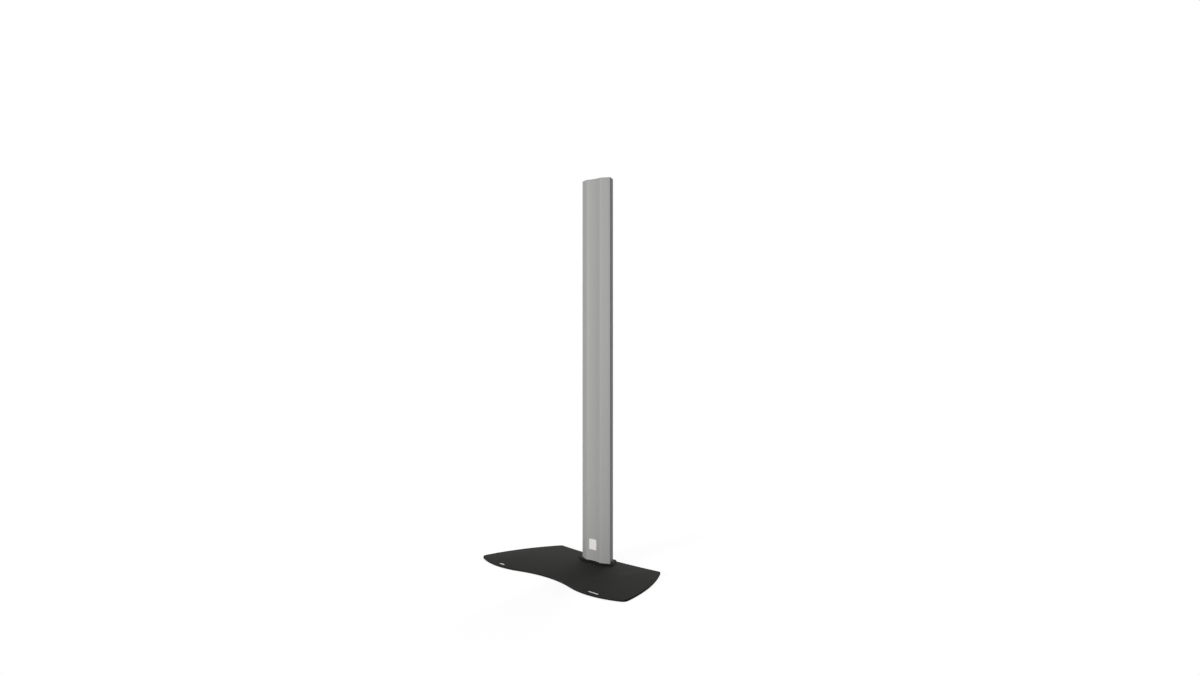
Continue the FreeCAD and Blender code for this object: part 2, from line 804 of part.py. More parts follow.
def fillet_uprights(name, base, groups):
    """Part fillet of upright edges; groups holds (edge test, radius alias)."""
    doc.recompute()
    item = part_object("Fillet", name, Base=base)
    edges = []
    for test, radius in groups:
        for number, edge in enumerate(base.Shape.Edges, START):
            box = edge.BoundBox
            if max(box.XLength, box.YLength) < SAME and test(box.XMin, box.YMin):
                edges.append((number, size(radius), size(radius)))
    item.Edges = edges
    return item


def plate_on_section(label, grow, thickness):
    """Plate with the column's outline, grown outwards by an alias, or as it is."""
    sketch = tool_sketch(f"{label}_outline")
    section(sketch)
    base = sketch
    if grow:
        base = part_object("Offset2D", f"{label}_grown", Source=sketch, Join="Intersection")
        base.setExpression("Value", bound(grow))
    return prism(f"{label}_plate", base, thickness)


def foot_flange():
    """Plate under the lower column, open for the pins' welded feet and the tab."""
    label = "foot_flange"
    plate = plate_on_section(label, "flange_overhang", "flange_thickness")
    ridge = size("corner_half_width") / 2 + size("ridge_half_pitch") / 2
    rounded = fillet_uprights(f"{label}_rounded", plate, [
        (lambda x, y: y < 0 and abs(x) < ridge, "flange_ridge_rounding"),
        (lambda x, y: y > 0 or abs(x) >= ridge, "flange_corner_rounding"),
    ])
    window = tool_sketch(f"{label}_window")
    stadium(window, "pin_half_pitch", "flange_window_radius")
    slot = tool_sketch(f"{label}_slot")
    box_outline(slot, "base_slot_left", "base_slot_right", "slot_front", "slot_rear")
    cutters = [prism(f"{label}_{what}_cutter", sketch, "flange_thickness")
               for what, sketch in (("window", window), ("slot", slot))]
    for number, place in enumerate(port_places(), START):
        cutters += drilled_cone(f"{label}_{number}", place, "flat_hole_radius", "flat_head_radius",
                                "flange_thickness", False)
    tools = part_object("MultiFuse", f"{label}_cutters", Shapes=cutters)
    flange = part_object("Cut", label, Base=rounded, Tool=tools)
    flange.Label = label
    put(flange, 0, over("column_y"), over("base_top"))


def top_cap():
    """Plate that closes the upper column, with the speaker's two threaded holes and a cable slot."""
    label = "top_cap"
    plate = plate_on_section(label, None, "cap_thickness")
    ridge = size("corner_half_width") / 2 + size("ridge_half_pitch") / 2
    rounded = fillet_uprights(f"{label}_rounded", plate, [
        (lambda x, y: y < 0 and abs(x) < ridge, "ridge_rounding"),
        (lambda x, y: y < 0 and abs(x) >= ridge, "front_corner_rounding"),
        (lambda x, y: y > 0, "rear_corner_rounding"),
    ])
    slot = tool_sketch(f"{label}_cable")
    stadium(slot, "cap_slot_half_pitch", "cap_slot_radius")
    cutters = [prism(f"{label}_cable_cutter", slot, "cap_thickness")]
    holes = tool_sketch(f"{label}_holes")
    for place in mirrored([("speaker_hole_half_pitch", 0)]):
        circle(holes, "speaker_hole_radius", place)
    cutters.append(prism(f"{label}_holes_cutter", holes, "cap_thickness"))
    for number, place in enumerate(port_places(), START):
        cutters += drilled_cone(f"{label}_{number}", place, "flat_hole_radius", "flat_head_radius",
                                "cap_thickness", True)
    tools = part_object("MultiFuse", f"{label}_cutters", Shapes=cutters)
    cap = part_object("Cut", label, Base=rounded, Tool=tools)
    cap.Label = label
    put(cap, 0, over("column_y"), over("seat_level"))


# Blocks inside the columns. Each is a moulding that fills the middle of the hollow.

def block(label, height):
    body = new_body(label)
    sketch = new_sketch(body, "outline")
    box_outline(sketch, "-block_half_width", "block_half_width", "-block_front", "block_rear")
    solid = pad(body, sketch, "block", height)
    corners = mirrored([("block_half_width", "-block_front"), ("block_half_width", "block_rear")])
    edges = upright_edges(solid.Shape, corners)
    dress(body, "Fillet", "corners", edges, solid, "Radius", "block_corner")
    return body


def bores(body, radius, plane_level=None, depth=None):
    """The two holes for the pins, cut up from the block's foot or down from its top."""
    sketch = new_sketch(body, "bores", "XY_Plane", plane_level)
    for place in mirrored([("pin_half_pitch", 0)]):
        circle(sketch, radius, place)
    return pocket(body, sketch, "bores", depth, backwards=plane_level is None)


def cut_backwards(body, what, front, radius, places):
    """Round holes that start at a plane across the block and run out of its back."""
    sketch = new_sketch(body, what, "XZ_Plane", f"-{front}")
    for place in places:
        circle(sketch, radius, place)
    return pocket(body, sketch, what)


def socket_block():
    """Foot of the lower column: sockets for the base's pins and a slot for its tab."""
    body = block("socket_block", "socket_block_height")
    holes = bores(body, "base_socket_radius")
    mouth = [f"Edge{number}" for number, edge in enumerate(holes.Shape.Edges, START)
             if edge.BoundBox.ZMax < SAME
             and abs(edge.BoundBox.XLength - 2 * size("base_socket_radius")) < SAME]
    dress(body, "Chamfer", "mouths", mouth, holes, "Size", "block_mouth_chamfer")
    sketch = new_sketch(body, "channel")
    box_outline(sketch, "base_slot_left", "base_slot_right", "slot_front", "channel_rear")
    pocket(body, sketch, "channel", "base_slot_height", backwards=True)
    cut_backwards(body, "screw_holes", "button_hole_front", "button_hole_radius",
                  screw_pair("block_screw_end_inset"))
    put(body, 0, over("column_y"), over("lower_foot"))


def pin_block():
    """Head of the lower column: holds the joint pins and takes the upper column's tab."""
    body = block("pin_block", "pin_block_height")
    bores(body, "joint_grip_radius", "pin_block_height", "pin_bore_depth")
    sketch = new_sketch(body, "recess", "XY_Plane", "pin_block_height")
    stadium(sketch, "pin_half_pitch", "recess_radius")
    pocket(body, sketch, "recess", "pin_recess_depth")
    sketch = new_sketch(body, "channel", "XY_Plane", "pin_block_height")
    box_outline(sketch, "joint_slot_left", "joint_slot_right", "slot_front", "channel_rear")
    pocket(body, sketch, "channel", "pin_slot_depth")
    cut_backwards(body, "screw_holes", "button_hole_front", "button_hole_radius",
                  screw_pair("block_screw_end_inset"))
    put(body, 0, over("column_y"), over("lower_foot", "pin_block_level"))


def joint_block():
    """Foot of the upper column: a nose round the pins' sockets, and the tab's seat."""
    body = block("joint_block", "joint_block_height")
    sketch = new_sketch(body, "nose")
    stadium(sketch, "pin_half_pitch", "nose_radius")
    pad(body, sketch, "nose", "nose_length", backwards=True)
    sketch = new_sketch(body, "bores", "XY_Plane", "joint_block_height")
    for place in mirrored([("pin_half_pitch", 0)]):
        circle(sketch, "joint_socket_radius", place)
    pocket(body, sketch, "bores")
    sketch = new_sketch(body, "channel")
    box_outline(sketch, "joint_bar_left", "joint_bar_right", "tab_front", "channel_rear")
    pocket(body, sketch, "channel", "bar_slot_height", backwards=True)
    cut_backwards(body, "tab_holes", "tab_hole_front", "button_hole_radius",
                  [("tab_across", "tab_hole_low"), ("tab_across", "tab_hole_high")])
    cut_backwards(body, "screw_holes", "button_hole_front", "button_hole_radius",
                  screw_pair("joint_block_screw"))
    put(body, 0, over("column_y"), over("joint_level", "block_setback"))


# Lock screws. Their own frames have the tip at the origin and the head above it; laid down, the
# head points to the back.

LAID_DOWN = FreeCAD.Rotation(ACROSS, -HALF_TURN_DEG / 2)


def lay_down(item):
    item.Placement = FreeCAD.Placement(item.Placement.Base, LAID_DOWN)
    return item


def lock_levels():
    """Each lock's name, with its height as an expression."""
    return (("bottom", over("base_top", "base_eye_height")),
            ("top", over("top_eye_level")))


def lock_screws():
    for name, level in lock_levels():
        body = turned_piece(f"{name}_lock_screw", [
            (0, 0),
            ("lock_tip_radius", 0),
            ("lock_tip_radius", "lock_tip_length"),
            ("lock_radius", "lock_tip_length"),
            ("lock_radius", "lock_length"),
            ("lock_head_radius", "lock_length"),
            ("lock_head_radius", "lock_rim_level"),
            ("lock_face_radius", "lock_full_length"),
            (0, "lock_full_length"),
        ])
        sketch = new_sketch(body, "drive", "XY_Plane", "lock_full_length")
        outline(sketch, [
            ("lock_drive_radius", 0),
            ("lock_drive_half", "lock_drive_rise"),
            ("-lock_drive_half", "lock_drive_rise"),
            ("-lock_drive_radius", 0),
            ("-lock_drive_half", "-lock_drive_rise"),
            ("lock_drive_half", "-lock_drive_rise"),
        ])
        pocket(body, sketch, "drive", "lock_drive_depth")
        sketch = new_sketch(body, "knurl", "XY_Plane", "lock_full_length")
        circle(sketch, "knurl_radius", ("knurl_centre", 0))
        groove = pocket(body, sketch, "knurl", "lock_head_height")
        pattern = body.newObject("PartDesign::PolarPattern", f"{name}_knurling")
        pattern.Originals = [groove]
        pattern.Axis = (sketch, ["N_Axis"])
        pattern.Angle = FULL_TURN_DEG
        pattern.Occurrences = KNURLS
        body.Tip = pattern
        settle(body, pattern, False, groove)
        lay_down(body)
        put(body, over("tab_across"), over("column_y", "lock_tip_back"), level)


def ring(label, outer, inner, thickness):
    body = new_body(label)
    sketch = new_sketch(body, "ring")
    circle(sketch, outer)
    circle(sketch, inner)
    pad(body, sketch, "ring", thickness)
    return lay_down(body)


def lock_rings():
    """Threaded bushes in the rear wall, and the nylon washers that travel with the screws."""
    for name, level in lock_levels():
        bush = ring(f"{name}_lock_bush", "bush_radius", "lock_bore_radius", "bush_length")
        put(bush, over("tab_across"), over("column_y", "slot_rear"), level)
        washer = ring(f"{name}_lock_washer", "washer_radius", "washer_bore_radius",
                      "washer_thickness")
        put(washer, over("tab_across"), over("column_y", "washer_front"), level)


# Screws. One screw of each kind is drawn; a group holds a copy of it at each of its places.

def button_screw(label, grip, length):
    return turned_piece(label, [
        (0, 0),
        ("button_shank_radius", 0),
        ("button_shank_radius", grip),
        ("button_head_radius", grip),
        ("button_face_radius", length),
        (0, length),
    ])


def flat_screw(label):
    return turned_piece(label, [
        (0, 0),
        ("flat_shank_radius", 0),
        ("flat_shank_radius", "flat_shoulder"),
        ("flat_head_radius", "flat_length"),
        (0, "flat_length"),
    ])


def screw_group(label, screw, turn, places):
    """Copies of one screw, each turned and moved, as separate solids under one label."""
    copies = []
    for place in places:
        copy = screw.Shape.copy()
        copy.Placement = FreeCAD.Placement(FreeCAD.Vector(*place), turn)
        copies.append(copy)
    group = doc.addObject("Part::Feature", label)
    group.Label = label
    group.Shape = Part.makeCompound(copies)
    put(group, 0, over("column_y"), 0)


def screws():
    upright = FreeCAD.Rotation()
    upside_down = FreeCAD.Rotation(ACROSS, HALF_TURN_DEG)
    block_screw = button_screw("block_screw", "button_grip", "button_length")
    tab_screw = button_screw("tab_screw", "tab_screw_grip", "tab_screw_length")
    plate_screw = flat_screw("plate_screw")
    foot = size("lower_foot")
    joint = size("joint_level")
    tip = size("rear_back") - size("button_grip")
    offset = size("block_screw_offset")
    for label, level in (("socket_block_screws", foot + size("lower_screw_low")),
                         ("pin_block_screws", foot + size("lower_screw_high")),
                         ("joint_block_screws", joint + size("upper_screw_level"))):
        places = [(x, tip, level) for x in (-offset, offset)]
        screw_group(label, block_screw, LAID_DOWN, places)
    places = [(size("tab_across"), size("tab_screw_front"), joint + size(level))
              for level in ("tab_screw_low", "tab_screw_high")]
    screw_group("tab_screws", tab_screw, LAID_DOWN, places)
    ports = [(size(x), size(y)) for x, y in port_places()]
    places = [(x, y, size("base_top") + size("flat_length")) for x, y in ports]
    screw_group("flange_screws", plate_screw, upside_down, places)
    places = [(x, y, size("stand_top") - size("flat_length")) for x, y in ports]
    screw_group("cap_screws", plate_screw, upright, places)


def front_label():
    """Bare label that lies in the valley of the lower column's face."""
    body = new_body("front_label")
    sketch = new_sketch(body, "skin")
    outline(sketch, [
        ("label_right", "-label_right_back"),
        ("-label_left", "-label_left_back"),
        ("-label_left", "-label_left_front"),
        ("label_right", "-label_right_front"),
    ], {0: ("valley_radius", 1), 2: ("label_skin_radius", -1)})
    pad(body, sketch, "skin", "label_height")
    level = over("lower_foot", "label_up") + f" - {bound('label_height')} / 2"
    put(body, 0, over("column_y"), level)


# Build, check and write.

for make in (base_plate, floor_pads, pale_strips, base_pins, base_tab, lower_column, foot_flange,
             socket_block, pin_block, joint_pins, joint_dowels, front_label, upper_column,
             joint_block, joint_tab, top_cap, lock_screws, lock_rings, screws):
    make()

doc.recompute()

for item in doc.Objects:
    if "Invalid" in item.State or "Error" in item.State:
        raise RuntimeError(f"{item.Name} failed: {item.State}")

os.makedirs("parts", exist_ok=True)
for label, item in CHOSEN.items():
    shape = item.Shape
    if shape.isNull() or not shape.isValid() or not shape.Solids:
        raise RuntimeError(f"{label} has no valid solid")
    shape.exportStep(f"parts/{label}.step")
    box = shape.BoundBox
    print(f"{label:24s} {len(shape.Solids)} solid(s) {shape.Volume / 1000:9.2f} cm3"
          f"  x {box.XMin:7.1f} {box.XMax:7.1f}  y {box.YMin:7.1f} {box.YMax:7.1f}"
          f"  z {box.ZMin:7.1f} {box.ZMax:7.1f}")
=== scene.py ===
# %% [markdown]
# # A two-section speaker stand
# The stand is a thin waved steel base, two hollow aluminium columns that stand on pins, and the
# small pieces that join them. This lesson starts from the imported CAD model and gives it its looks:
# finer pieces where a close view would miss something, and a finish for everything that stays.

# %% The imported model
import math
from contextlib import contextmanager

import bmesh
import bpy
from mathutils import Matrix, Vector


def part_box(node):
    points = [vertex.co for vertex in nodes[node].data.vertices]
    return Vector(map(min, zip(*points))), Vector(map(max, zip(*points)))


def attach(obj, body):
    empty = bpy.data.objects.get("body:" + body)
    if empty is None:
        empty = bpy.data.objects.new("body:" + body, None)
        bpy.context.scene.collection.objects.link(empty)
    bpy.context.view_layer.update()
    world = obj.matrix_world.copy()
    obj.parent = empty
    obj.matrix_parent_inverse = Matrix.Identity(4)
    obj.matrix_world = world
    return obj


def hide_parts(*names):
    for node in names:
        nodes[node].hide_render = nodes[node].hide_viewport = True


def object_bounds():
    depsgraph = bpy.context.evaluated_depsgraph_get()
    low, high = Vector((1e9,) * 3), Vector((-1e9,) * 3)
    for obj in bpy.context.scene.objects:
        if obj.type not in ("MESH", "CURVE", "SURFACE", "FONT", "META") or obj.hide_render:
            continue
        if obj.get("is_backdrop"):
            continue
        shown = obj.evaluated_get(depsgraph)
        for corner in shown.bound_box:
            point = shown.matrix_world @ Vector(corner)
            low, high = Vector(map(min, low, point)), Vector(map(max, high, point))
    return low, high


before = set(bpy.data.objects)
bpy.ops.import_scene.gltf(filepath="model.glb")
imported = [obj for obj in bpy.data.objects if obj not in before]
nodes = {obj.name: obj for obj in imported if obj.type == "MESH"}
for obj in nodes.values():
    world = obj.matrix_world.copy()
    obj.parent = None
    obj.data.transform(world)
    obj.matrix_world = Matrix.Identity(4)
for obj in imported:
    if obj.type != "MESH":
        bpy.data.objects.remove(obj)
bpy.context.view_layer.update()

# %% [markdown]
# ## The camera
# The photograph was taken with a level camera, 0.75 m above the floor and some way to the right of
# the stand's front. Its lens is a wide one. A level camera keeps upright lines upright, so the
# picture is moved up with a small lens shift and not by tilting the camera.

# %% The camera
CAMERA_PLACE = Vector((1.8056, -1.7671, 0.7545))
CAMERA_LOOK = Vector((-0.6937, 0.7203, 0.0))


def new_object(name, data):
    """Put an object with this data into the scene."""
    made = bpy.data.objects.new(name, data)
    bpy.context.scene.collection.objects.link(made)
    return made


camera_data = bpy.data.cameras.new("photo_camera")
camera_data.sensor_fit = "HORIZONTAL"
camera_data.sensor_width = 36.0
camera_data.lens = 24.57
camera_data.shift_y = -0.0104
camera = new_object("photo_camera", camera_data)
camera.location = CAMERA_PLACE
camera.rotation_euler = CAMERA_LOOK.to_track_quat("-Z", "Y").to_euler()
bpy.context.scene.camera = camera
print("camera", tuple(round(v, 3) for v in camera.location), "lens", camera_data.lens)

# %% [markdown]
# ## Helpers for node trees
# Materials, effects and Geometry Nodes are all trees of nodes. One helper adds a node, sets its
# properties and feeds its sockets, with a value or with another node's output. A second one starts
# a group with named inputs and outputs. The others shorten what comes often: a node of which only
# the first output is wanted, a step of arithmetic, a noise, and the scale that gives a noise grains
# of a certain size. Mix nodes go by socket numbers, because their names repeat: 2 and 3 are the two
# numbers to mix, 6 and 7 the two colours.

# %% Helpers for node trees
def add(tree, kind, sockets=None, **properties):
    """Add a node. sockets maps an input's name or number to a value or to an output to link."""
    node = tree.nodes.new(kind)
    for key, value in properties.items():
        setattr(node, key, value)
    for key, value in (sockets or {}).items():
        for item in value if isinstance(value, list) else [value]:
            if isinstance(item, bpy.types.NodeSocket):
                tree.links.new(item, node.inputs[key])
            else:
                node.inputs[key].default_value = item
    return node


def new_group(name, kind, inputs, outputs):
    """Start a node group. inputs maps a name to (socket type, value), outputs a name to a type."""
    tree = bpy.data.node_groups.new(name, kind)
    for label, (socket, value) in inputs.items():
        made = tree.interface.new_socket(label, in_out="INPUT", socket_type=socket)
        if value is not None:
            made.default_value = value
    for label, socket in outputs.items():
        tree.interface.new_socket(label, in_out="OUTPUT", socket_type=socket)
    return tree, add(tree, "NodeGroupInput").outputs, add(tree, "NodeGroupOutput").inputs


def output(tree, kind, sockets=None, **properties):
    """Add a node and return its first output."""
    return add(tree, kind, sockets, **properties).outputs[0]


def math_node(tree, operation, *values):
    return output(tree, "ShaderNodeMath", dict(enumerate(values)), operation=operation)


def one_over(tree, size):
    """The scale that gives a noise grains of this size."""
    return math_node(tree, "DIVIDE", 1.0, size)


def noise(tree, place, scale, detail):
    return output(tree, "ShaderNodeTexNoise", {"Vector": place, "Scale": scale, "Detail": detail})


FLOAT = "NodeSocketFloat"
print("node helpers ready")

# %% [markdown]
# ## Effect: drawn lines
# An extruded column carries fine straight lines along its length, from the die. The effect squeezes
# a noise across the piece and stretches it along Z, so it turns into lines. It puts out a height
# for the bump and a broader streak that changes the colour and the roughness a little.

# %% Effect: drawn lines
def drawn_lines():
    tree, given, result = new_group("drawn_lines", "ShaderNodeTree", {
        "Line Width": (FLOAT, 0.0006),
        "Line Length": (FLOAT, 0.4),
    }, {"Height": FLOAT, "Mottle": FLOAT})
    place = add(tree, "ShaderNodeTexCoord").outputs["Object"]
    across = one_over(tree, given["Line Width"])
    along = one_over(tree, given["Line Length"])
    scale = output(tree, "ShaderNodeCombineXYZ", {"X": across, "Y": across, "Z": along})
    squeezed = output(tree, "ShaderNodeVectorMath", {0: place, 1: scale}, operation="MULTIPLY")
    tree.links.new(noise(tree, squeezed, 1.0, 3.0), result["Height"])
    tree.links.new(noise(tree, squeezed, 0.12, 2.0), result["Mottle"])
    return tree


DRAWN_LINES = drawn_lines()
print("effect", DRAWN_LINES.name)

# %% [markdown]
# ## Effect: turned rings
# A pin that was turned on a lathe has rings round it. The noise is stretched round the piece and
# squeezed along Z, the other way about from the drawn lines. Broader rings shift the sheen, and a
# named share of fine speckle stands for the grey bloom that steel gets in a workshop.

# %% Effect: turned rings
def turned_rings():
    tree, given, result = new_group("turned_rings", "ShaderNodeTree", {
        "Ring Width": (FLOAT, 0.0003),
        "Speckle": (FLOAT, 0.3),
    }, {"Height": FLOAT, "Mottle": FLOAT})
    place = add(tree, "ShaderNodeTexCoord").outputs["Object"]
    rings = one_over(tree, given["Ring Width"])
    scale = output(tree, "ShaderNodeCombineXYZ", {"X": 40.0, "Y": 40.0, "Z": rings})
    squeezed = output(tree, "ShaderNodeVectorMath", {0: place, 1: scale}, operation="MULTIPLY")
    broad = noise(tree, squeezed, 0.2, 2.0)
    spots = noise(tree, place, 1400.0, 2.0)
    mottle = output(tree, "ShaderNodeMix", {0: given["Speckle"], 2: broad, 3: spots},
                    data_type="FLOAT")
    tree.links.new(noise(tree, squeezed, 1.0, 2.0), result["Height"])
    tree.links.new(mottle, result["Mottle"])
    return tree


TURNED_RINGS = turned_rings()
print("effect", TURNED_RINGS.name)

# %% [markdown]
# ## Effect: fine grain
# Powder coat, plating, moulded plastic, rubber and paper all have an even small relief, only of
# different sizes. One noise gives the relief and a second, much broader, gives the uneven sheen
# that such a surface has from handling.

# %% Effect: fine grain
def fine_grain():
    tree, given, result = new_group("fine_grain", "ShaderNodeTree", {
        "Grain Size": (FLOAT, 0.0008),
        "Sheen Size": (FLOAT, 0.03),
    }, {"Height": FLOAT, "Mottle": FLOAT})
    place = add(tree, "ShaderNodeTexCoord").outputs["Object"]
    small = one_over(tree, given["Grain Size"])
    broad = one_over(tree, given["Sheen Size"])
    tree.links.new(noise(tree, place, small, 2.0), result["Height"])
    tree.links.new(noise(tree, place, broad, 3.0), result["Mottle"])
    return tree


FINE_GRAIN = fine_grain()
print("effect", FINE_GRAIN.name)

# %% [markdown]
# ## Effect: edge wear
# Paint and anodising wear first along the edges. The pieces that are made here carry an attribute
# named edge, which is 1 on the narrow faces that break their edges and 0 elsewhere. A patchy noise
# decides where along an edge the finish is rubbed through.

# %% Effect: edge wear
def edge_wear():
    tree, given, result = new_group("edge_wear", "ShaderNodeTree", {
        "Amount": (FLOAT, 0.5),
        "Patch Size": (FLOAT, 0.02),
    }, {"Wear": FLOAT})
    edge = add(tree, "ShaderNodeAttribute", attribute_name="edge").outputs["Fac"]
    place = add(tree, "ShaderNodeTexCoord").outputs["Object"]
    patches = noise(tree, place, one_over(tree, given["Patch Size"]), 5.0)
    wear = output(tree, "ShaderNodeMapRange", {
        "Value": patches, "From Min": 0.42, "From Max": 0.62})
    for factor in (edge, given["Amount"]):
        wear = math_node(tree, "MULTIPLY", wear, factor)
    tree.links.new(wear, result["Wear"])
    return tree


EDGE_WEAR = edge_wear()
print("effect", EDGE_WEAR.name)

# %% [markdown]
# ## Building a finish
# Every finish on the stand has the same plan. An effect gives a height and a mottle; the height
# goes to a bump, the mottle shifts the colour and the roughness a little, and where a piece has
# broken edges the wear lays a second colour along them. What is the same all over is set straight
# on the shader.

# %% Building a finish
def empty_tree(owner):
    """The node tree of a material or a world, with nothing in it yet."""
    owner.use_nodes = True
    owner.node_tree.nodes.clear()
    return owner.node_tree


def finish(slot, colour, effect, sizes, roughness, spread, bump, metallic=0.0,
           sheen_colour=0.88, specular=0.5, wear=0.0, worn=None):
    """Make a material. wear is how much of the colour worn shows on the edges."""
    material = bpy.data.materials.new(f"{slot}_finish")
    material["slot"] = slot
    tree = empty_tree(material)
    texture = add(tree, "ShaderNodeGroup", sizes, node_tree=effect)
    mottle = texture.outputs["Mottle"]
    darker = tuple(c * sheen_colour for c in colour)
    base = add(tree, "ShaderNodeMix", {"Factor": mottle, 6: (*colour, 1.0), 7: (*darker, 1.0)},
               data_type="RGBA").outputs[2]
    if worn:
        edges = output(tree, "ShaderNodeGroup", {"Amount": wear}, node_tree=EDGE_WEAR)
        base = add(tree, "ShaderNodeMix", {"Factor": edges, 6: base, 7: (*worn, 1.0)},
                   data_type="RGBA").outputs[2]
    rough = output(tree, "ShaderNodeMapRange", {
        "Value": mottle, "From Min": 0.3, "From Max": 0.7,
        "To Min": roughness - spread / 2, "To Max": roughness + spread / 2})
    relief = output(tree, "ShaderNodeBump", {
        "Strength": 1.0, "Distance": bump, "Height": texture.outputs["Height"]})
    shader = output(tree, "ShaderNodeBsdfPrincipled", {
        "Base Color": base, "Roughness": rough, "Normal": relief,
        "Metallic": metallic, "Specular IOR Level": specular})
    add(tree, "ShaderNodeOutputMaterial", {"Surface": shader})
    return material


def dress(material, *names):
    """Give a finish to CAD nodes that stay as they are."""
    for name in names:
        slots = nodes[name].data.materials
        slots.clear()
        slots.append(material)
    print(f"{material.name}: {', '.join(names)}")


print("finish builder ready")

# %% [markdown]
# ## Satin anodised aluminium
# The columns are pale grey aluminium, brushed satin by the die and then anodised. Seen from two
# metres they have hardly any mirror in them, so the metal is blended with the soft grey of the
# anodised skin, and the drawn lines show only close up.

# %% Satin anodised aluminium
COLUMN_FINISH = finish(
    "column_aluminium", (0.375, 0.375, 0.362), DRAWN_LINES,
    {"Line Width": 0.0005, "Line Length": 0.5}, metallic=0.12, roughness=0.58, spread=0.08,
    bump=0.00002, sheen_colour=0.94, specular=0.25, wear=0.3, worn=(0.60, 0.60, 0.59))
print(COLUMN_FINISH.name)

# %% [markdown]
# ## Dark powder coat
# The base is steel under a charcoal powder coat, which is matte and has the small even relief of
# orange peel. Its edges are a little thinner, so they look paler.

# %% Dark powder coat
BASE_FINISH = finish(
    "base_paint", (0.021, 0.021, 0.019), FINE_GRAIN,
    {"Grain Size": 0.0011, "Sheen Size": 0.006}, roughness=0.66, spread=0.05,
    bump=0.00012, sheen_colour=0.93, specular=0.05, wear=0.4, worn=(0.07, 0.07, 0.065))
TAB_FINISH = finish(
    "tab_paint", (0.008, 0.008, 0.008), FINE_GRAIN,
    {"Grain Size": 0.0006, "Sheen Size": 0.01}, roughness=0.5, spread=0.12,
    bump=0.00004, specular=0.15, wear=0.4, worn=(0.16, 0.155, 0.15))
FLANGE_FINISH = finish(
    "flange_paint", (0.008, 0.008, 0.008), FINE_GRAIN,
    {"Grain Size": 0.0007, "Sheen Size": 0.02}, roughness=0.5, spread=0.12,
    bump=0.00004, specular=0.05, wear=0.2, worn=(0.14, 0.14, 0.135))
print(BASE_FINISH.name, TAB_FINISH.name, FLANGE_FINISH.name)

# %% [markdown]
# ## Steel, brass, nylon and rubber
# The base pins are dull grey bar, speckled by the welding heat. The joint pins are the same bar,
# left bright. Screws are zinc plated, the lock screws are bright with a worn rim, their bushes are
# brass and their washers natural nylon. The blocks are moulded plastic and the pads rubber.

# %% Steel, brass, nylon and rubber
BASE_PIN_FINISH = finish(
    "base_pin_steel", (0.115, 0.115, 0.11), TURNED_RINGS,
    {"Ring Width": 0.0005, "Speckle": 0.8}, metallic=0.35, roughness=0.55, spread=0.2,
    bump=0.00003, sheen_colour=0.45, specular=0.3)
JOINT_PIN_FINISH = finish(
    "joint_pin_steel", (0.135, 0.135, 0.131), TURNED_RINGS,
    {"Ring Width": 0.0003, "Speckle": 0.25}, metallic=0.55, roughness=0.45, spread=0.14,
    bump=0.00002, sheen_colour=0.8)
SCREW_FINISH = finish(
    "screw_steel", (0.26, 0.26, 0.255), FINE_GRAIN,
    {"Grain Size": 0.0003, "Sheen Size": 0.003}, metallic=0.9, roughness=0.38, spread=0.15,
    bump=0.00001, sheen_colour=0.8, wear=0.6, worn=(0.5, 0.5, 0.48))
LOCK_FINISH = finish(
    "lock_steel", (0.42, 0.42, 0.41), FINE_GRAIN,
    {"Grain Size": 0.0003, "Sheen Size": 0.004}, metallic=0.95, roughness=0.32, spread=0.14,
    bump=0.00001, sheen_colour=0.8, wear=0.8, worn=(0.7, 0.7, 0.68))
BUSH_FINISH = finish(
    "bush_brass", (0.62, 0.45, 0.18), FINE_GRAIN,
    {"Grain Size": 0.0003, "Sheen Size": 0.003}, metallic=1.0, roughness=0.34, spread=0.14,
    bump=0.00001, sheen_colour=0.8)
WASHER_FINISH = finish(
    "washer_nylon", (0.74, 0.72, 0.64), FINE_GRAIN,
    {"Grain Size": 0.0005, "Sheen Size": 0.005}, roughness=0.42, spread=0.12, bump=0.00001)
BLOCK_FINISH = finish(
    "block_plastic", (0.022, 0.022, 0.023), FINE_GRAIN,
    {"Grain Size": 0.0005, "Sheen Size": 0.015}, roughness=0.52, spread=0.14, bump=0.00004)
PAD_FINISH = finish(
    "pad_rubber", (0.018, 0.018, 0.018), FINE_GRAIN,
    {"Grain Size": 0.0007, "Sheen Size": 0.006}, roughness=0.8, spread=0.12, bump=0.00006)
print("steel, brass, nylon, plastic and rubber ready")

# %% [markdown]
# ## Label and strips
# The label on the lower column is plain, slightly warm white paper with its fibres just visible.
# The two pale strips near the base's front edge get a glossy white finish.

# %% Label and strips
LABEL_FINISH = finish(
    "label_paper", (0.90, 0.865, 0.855), FINE_GRAIN,
    {"Grain Size": 0.0004, "Sheen Size": 0.008}, roughness=0.62, spread=0.08, bump=0.00001,
    sheen_colour=0.96, specular=0.3)
STRIP_FINISH = finish(
    "pale_strip", (0.88, 0.875, 0.86), FINE_GRAIN,
    {"Grain Size": 0.0015, "Sheen Size": 0.012}, roughness=0.28, spread=0.10, bump=0.00001,
    sheen_colour=0.96)
dress(LABEL_FINISH, "front_label")
dress(STRIP_FINISH, "pale_strip_left", "pale_strip_right")

# %% [markdown]
# ## Pieces that keep their CAD shape
# The blocks, the bushes, the washers, the dowels and the pads are right as they are, and most of
# them sit inside the columns. They only get their finish.

# %% Pieces that keep their CAD shape
dress(BLOCK_FINISH, "socket_block", "pin_block", "joint_block")
dress(BUSH_FINISH, "bottom_lock_bush", "top_lock_bush")
dress(WASHER_FINISH, "bottom_lock_washer", "top_lock_washer")
dress(PAD_FINISH, *[name for name in nodes if name.startswith("floor_pad")])
dress(JOINT_PIN_FINISH, "joint_dowel_left", "joint_dowel_right")

# %% [markdown]
# ## Helpers for meshes
# A piece that is made here is a plain mesh at the origin. Its edges are broken with a narrow bevel,
# because no real edge is perfectly sharp, and the new faces are marked for the wear. Faces that
# meet at a small angle are then shaded as one smooth surface.

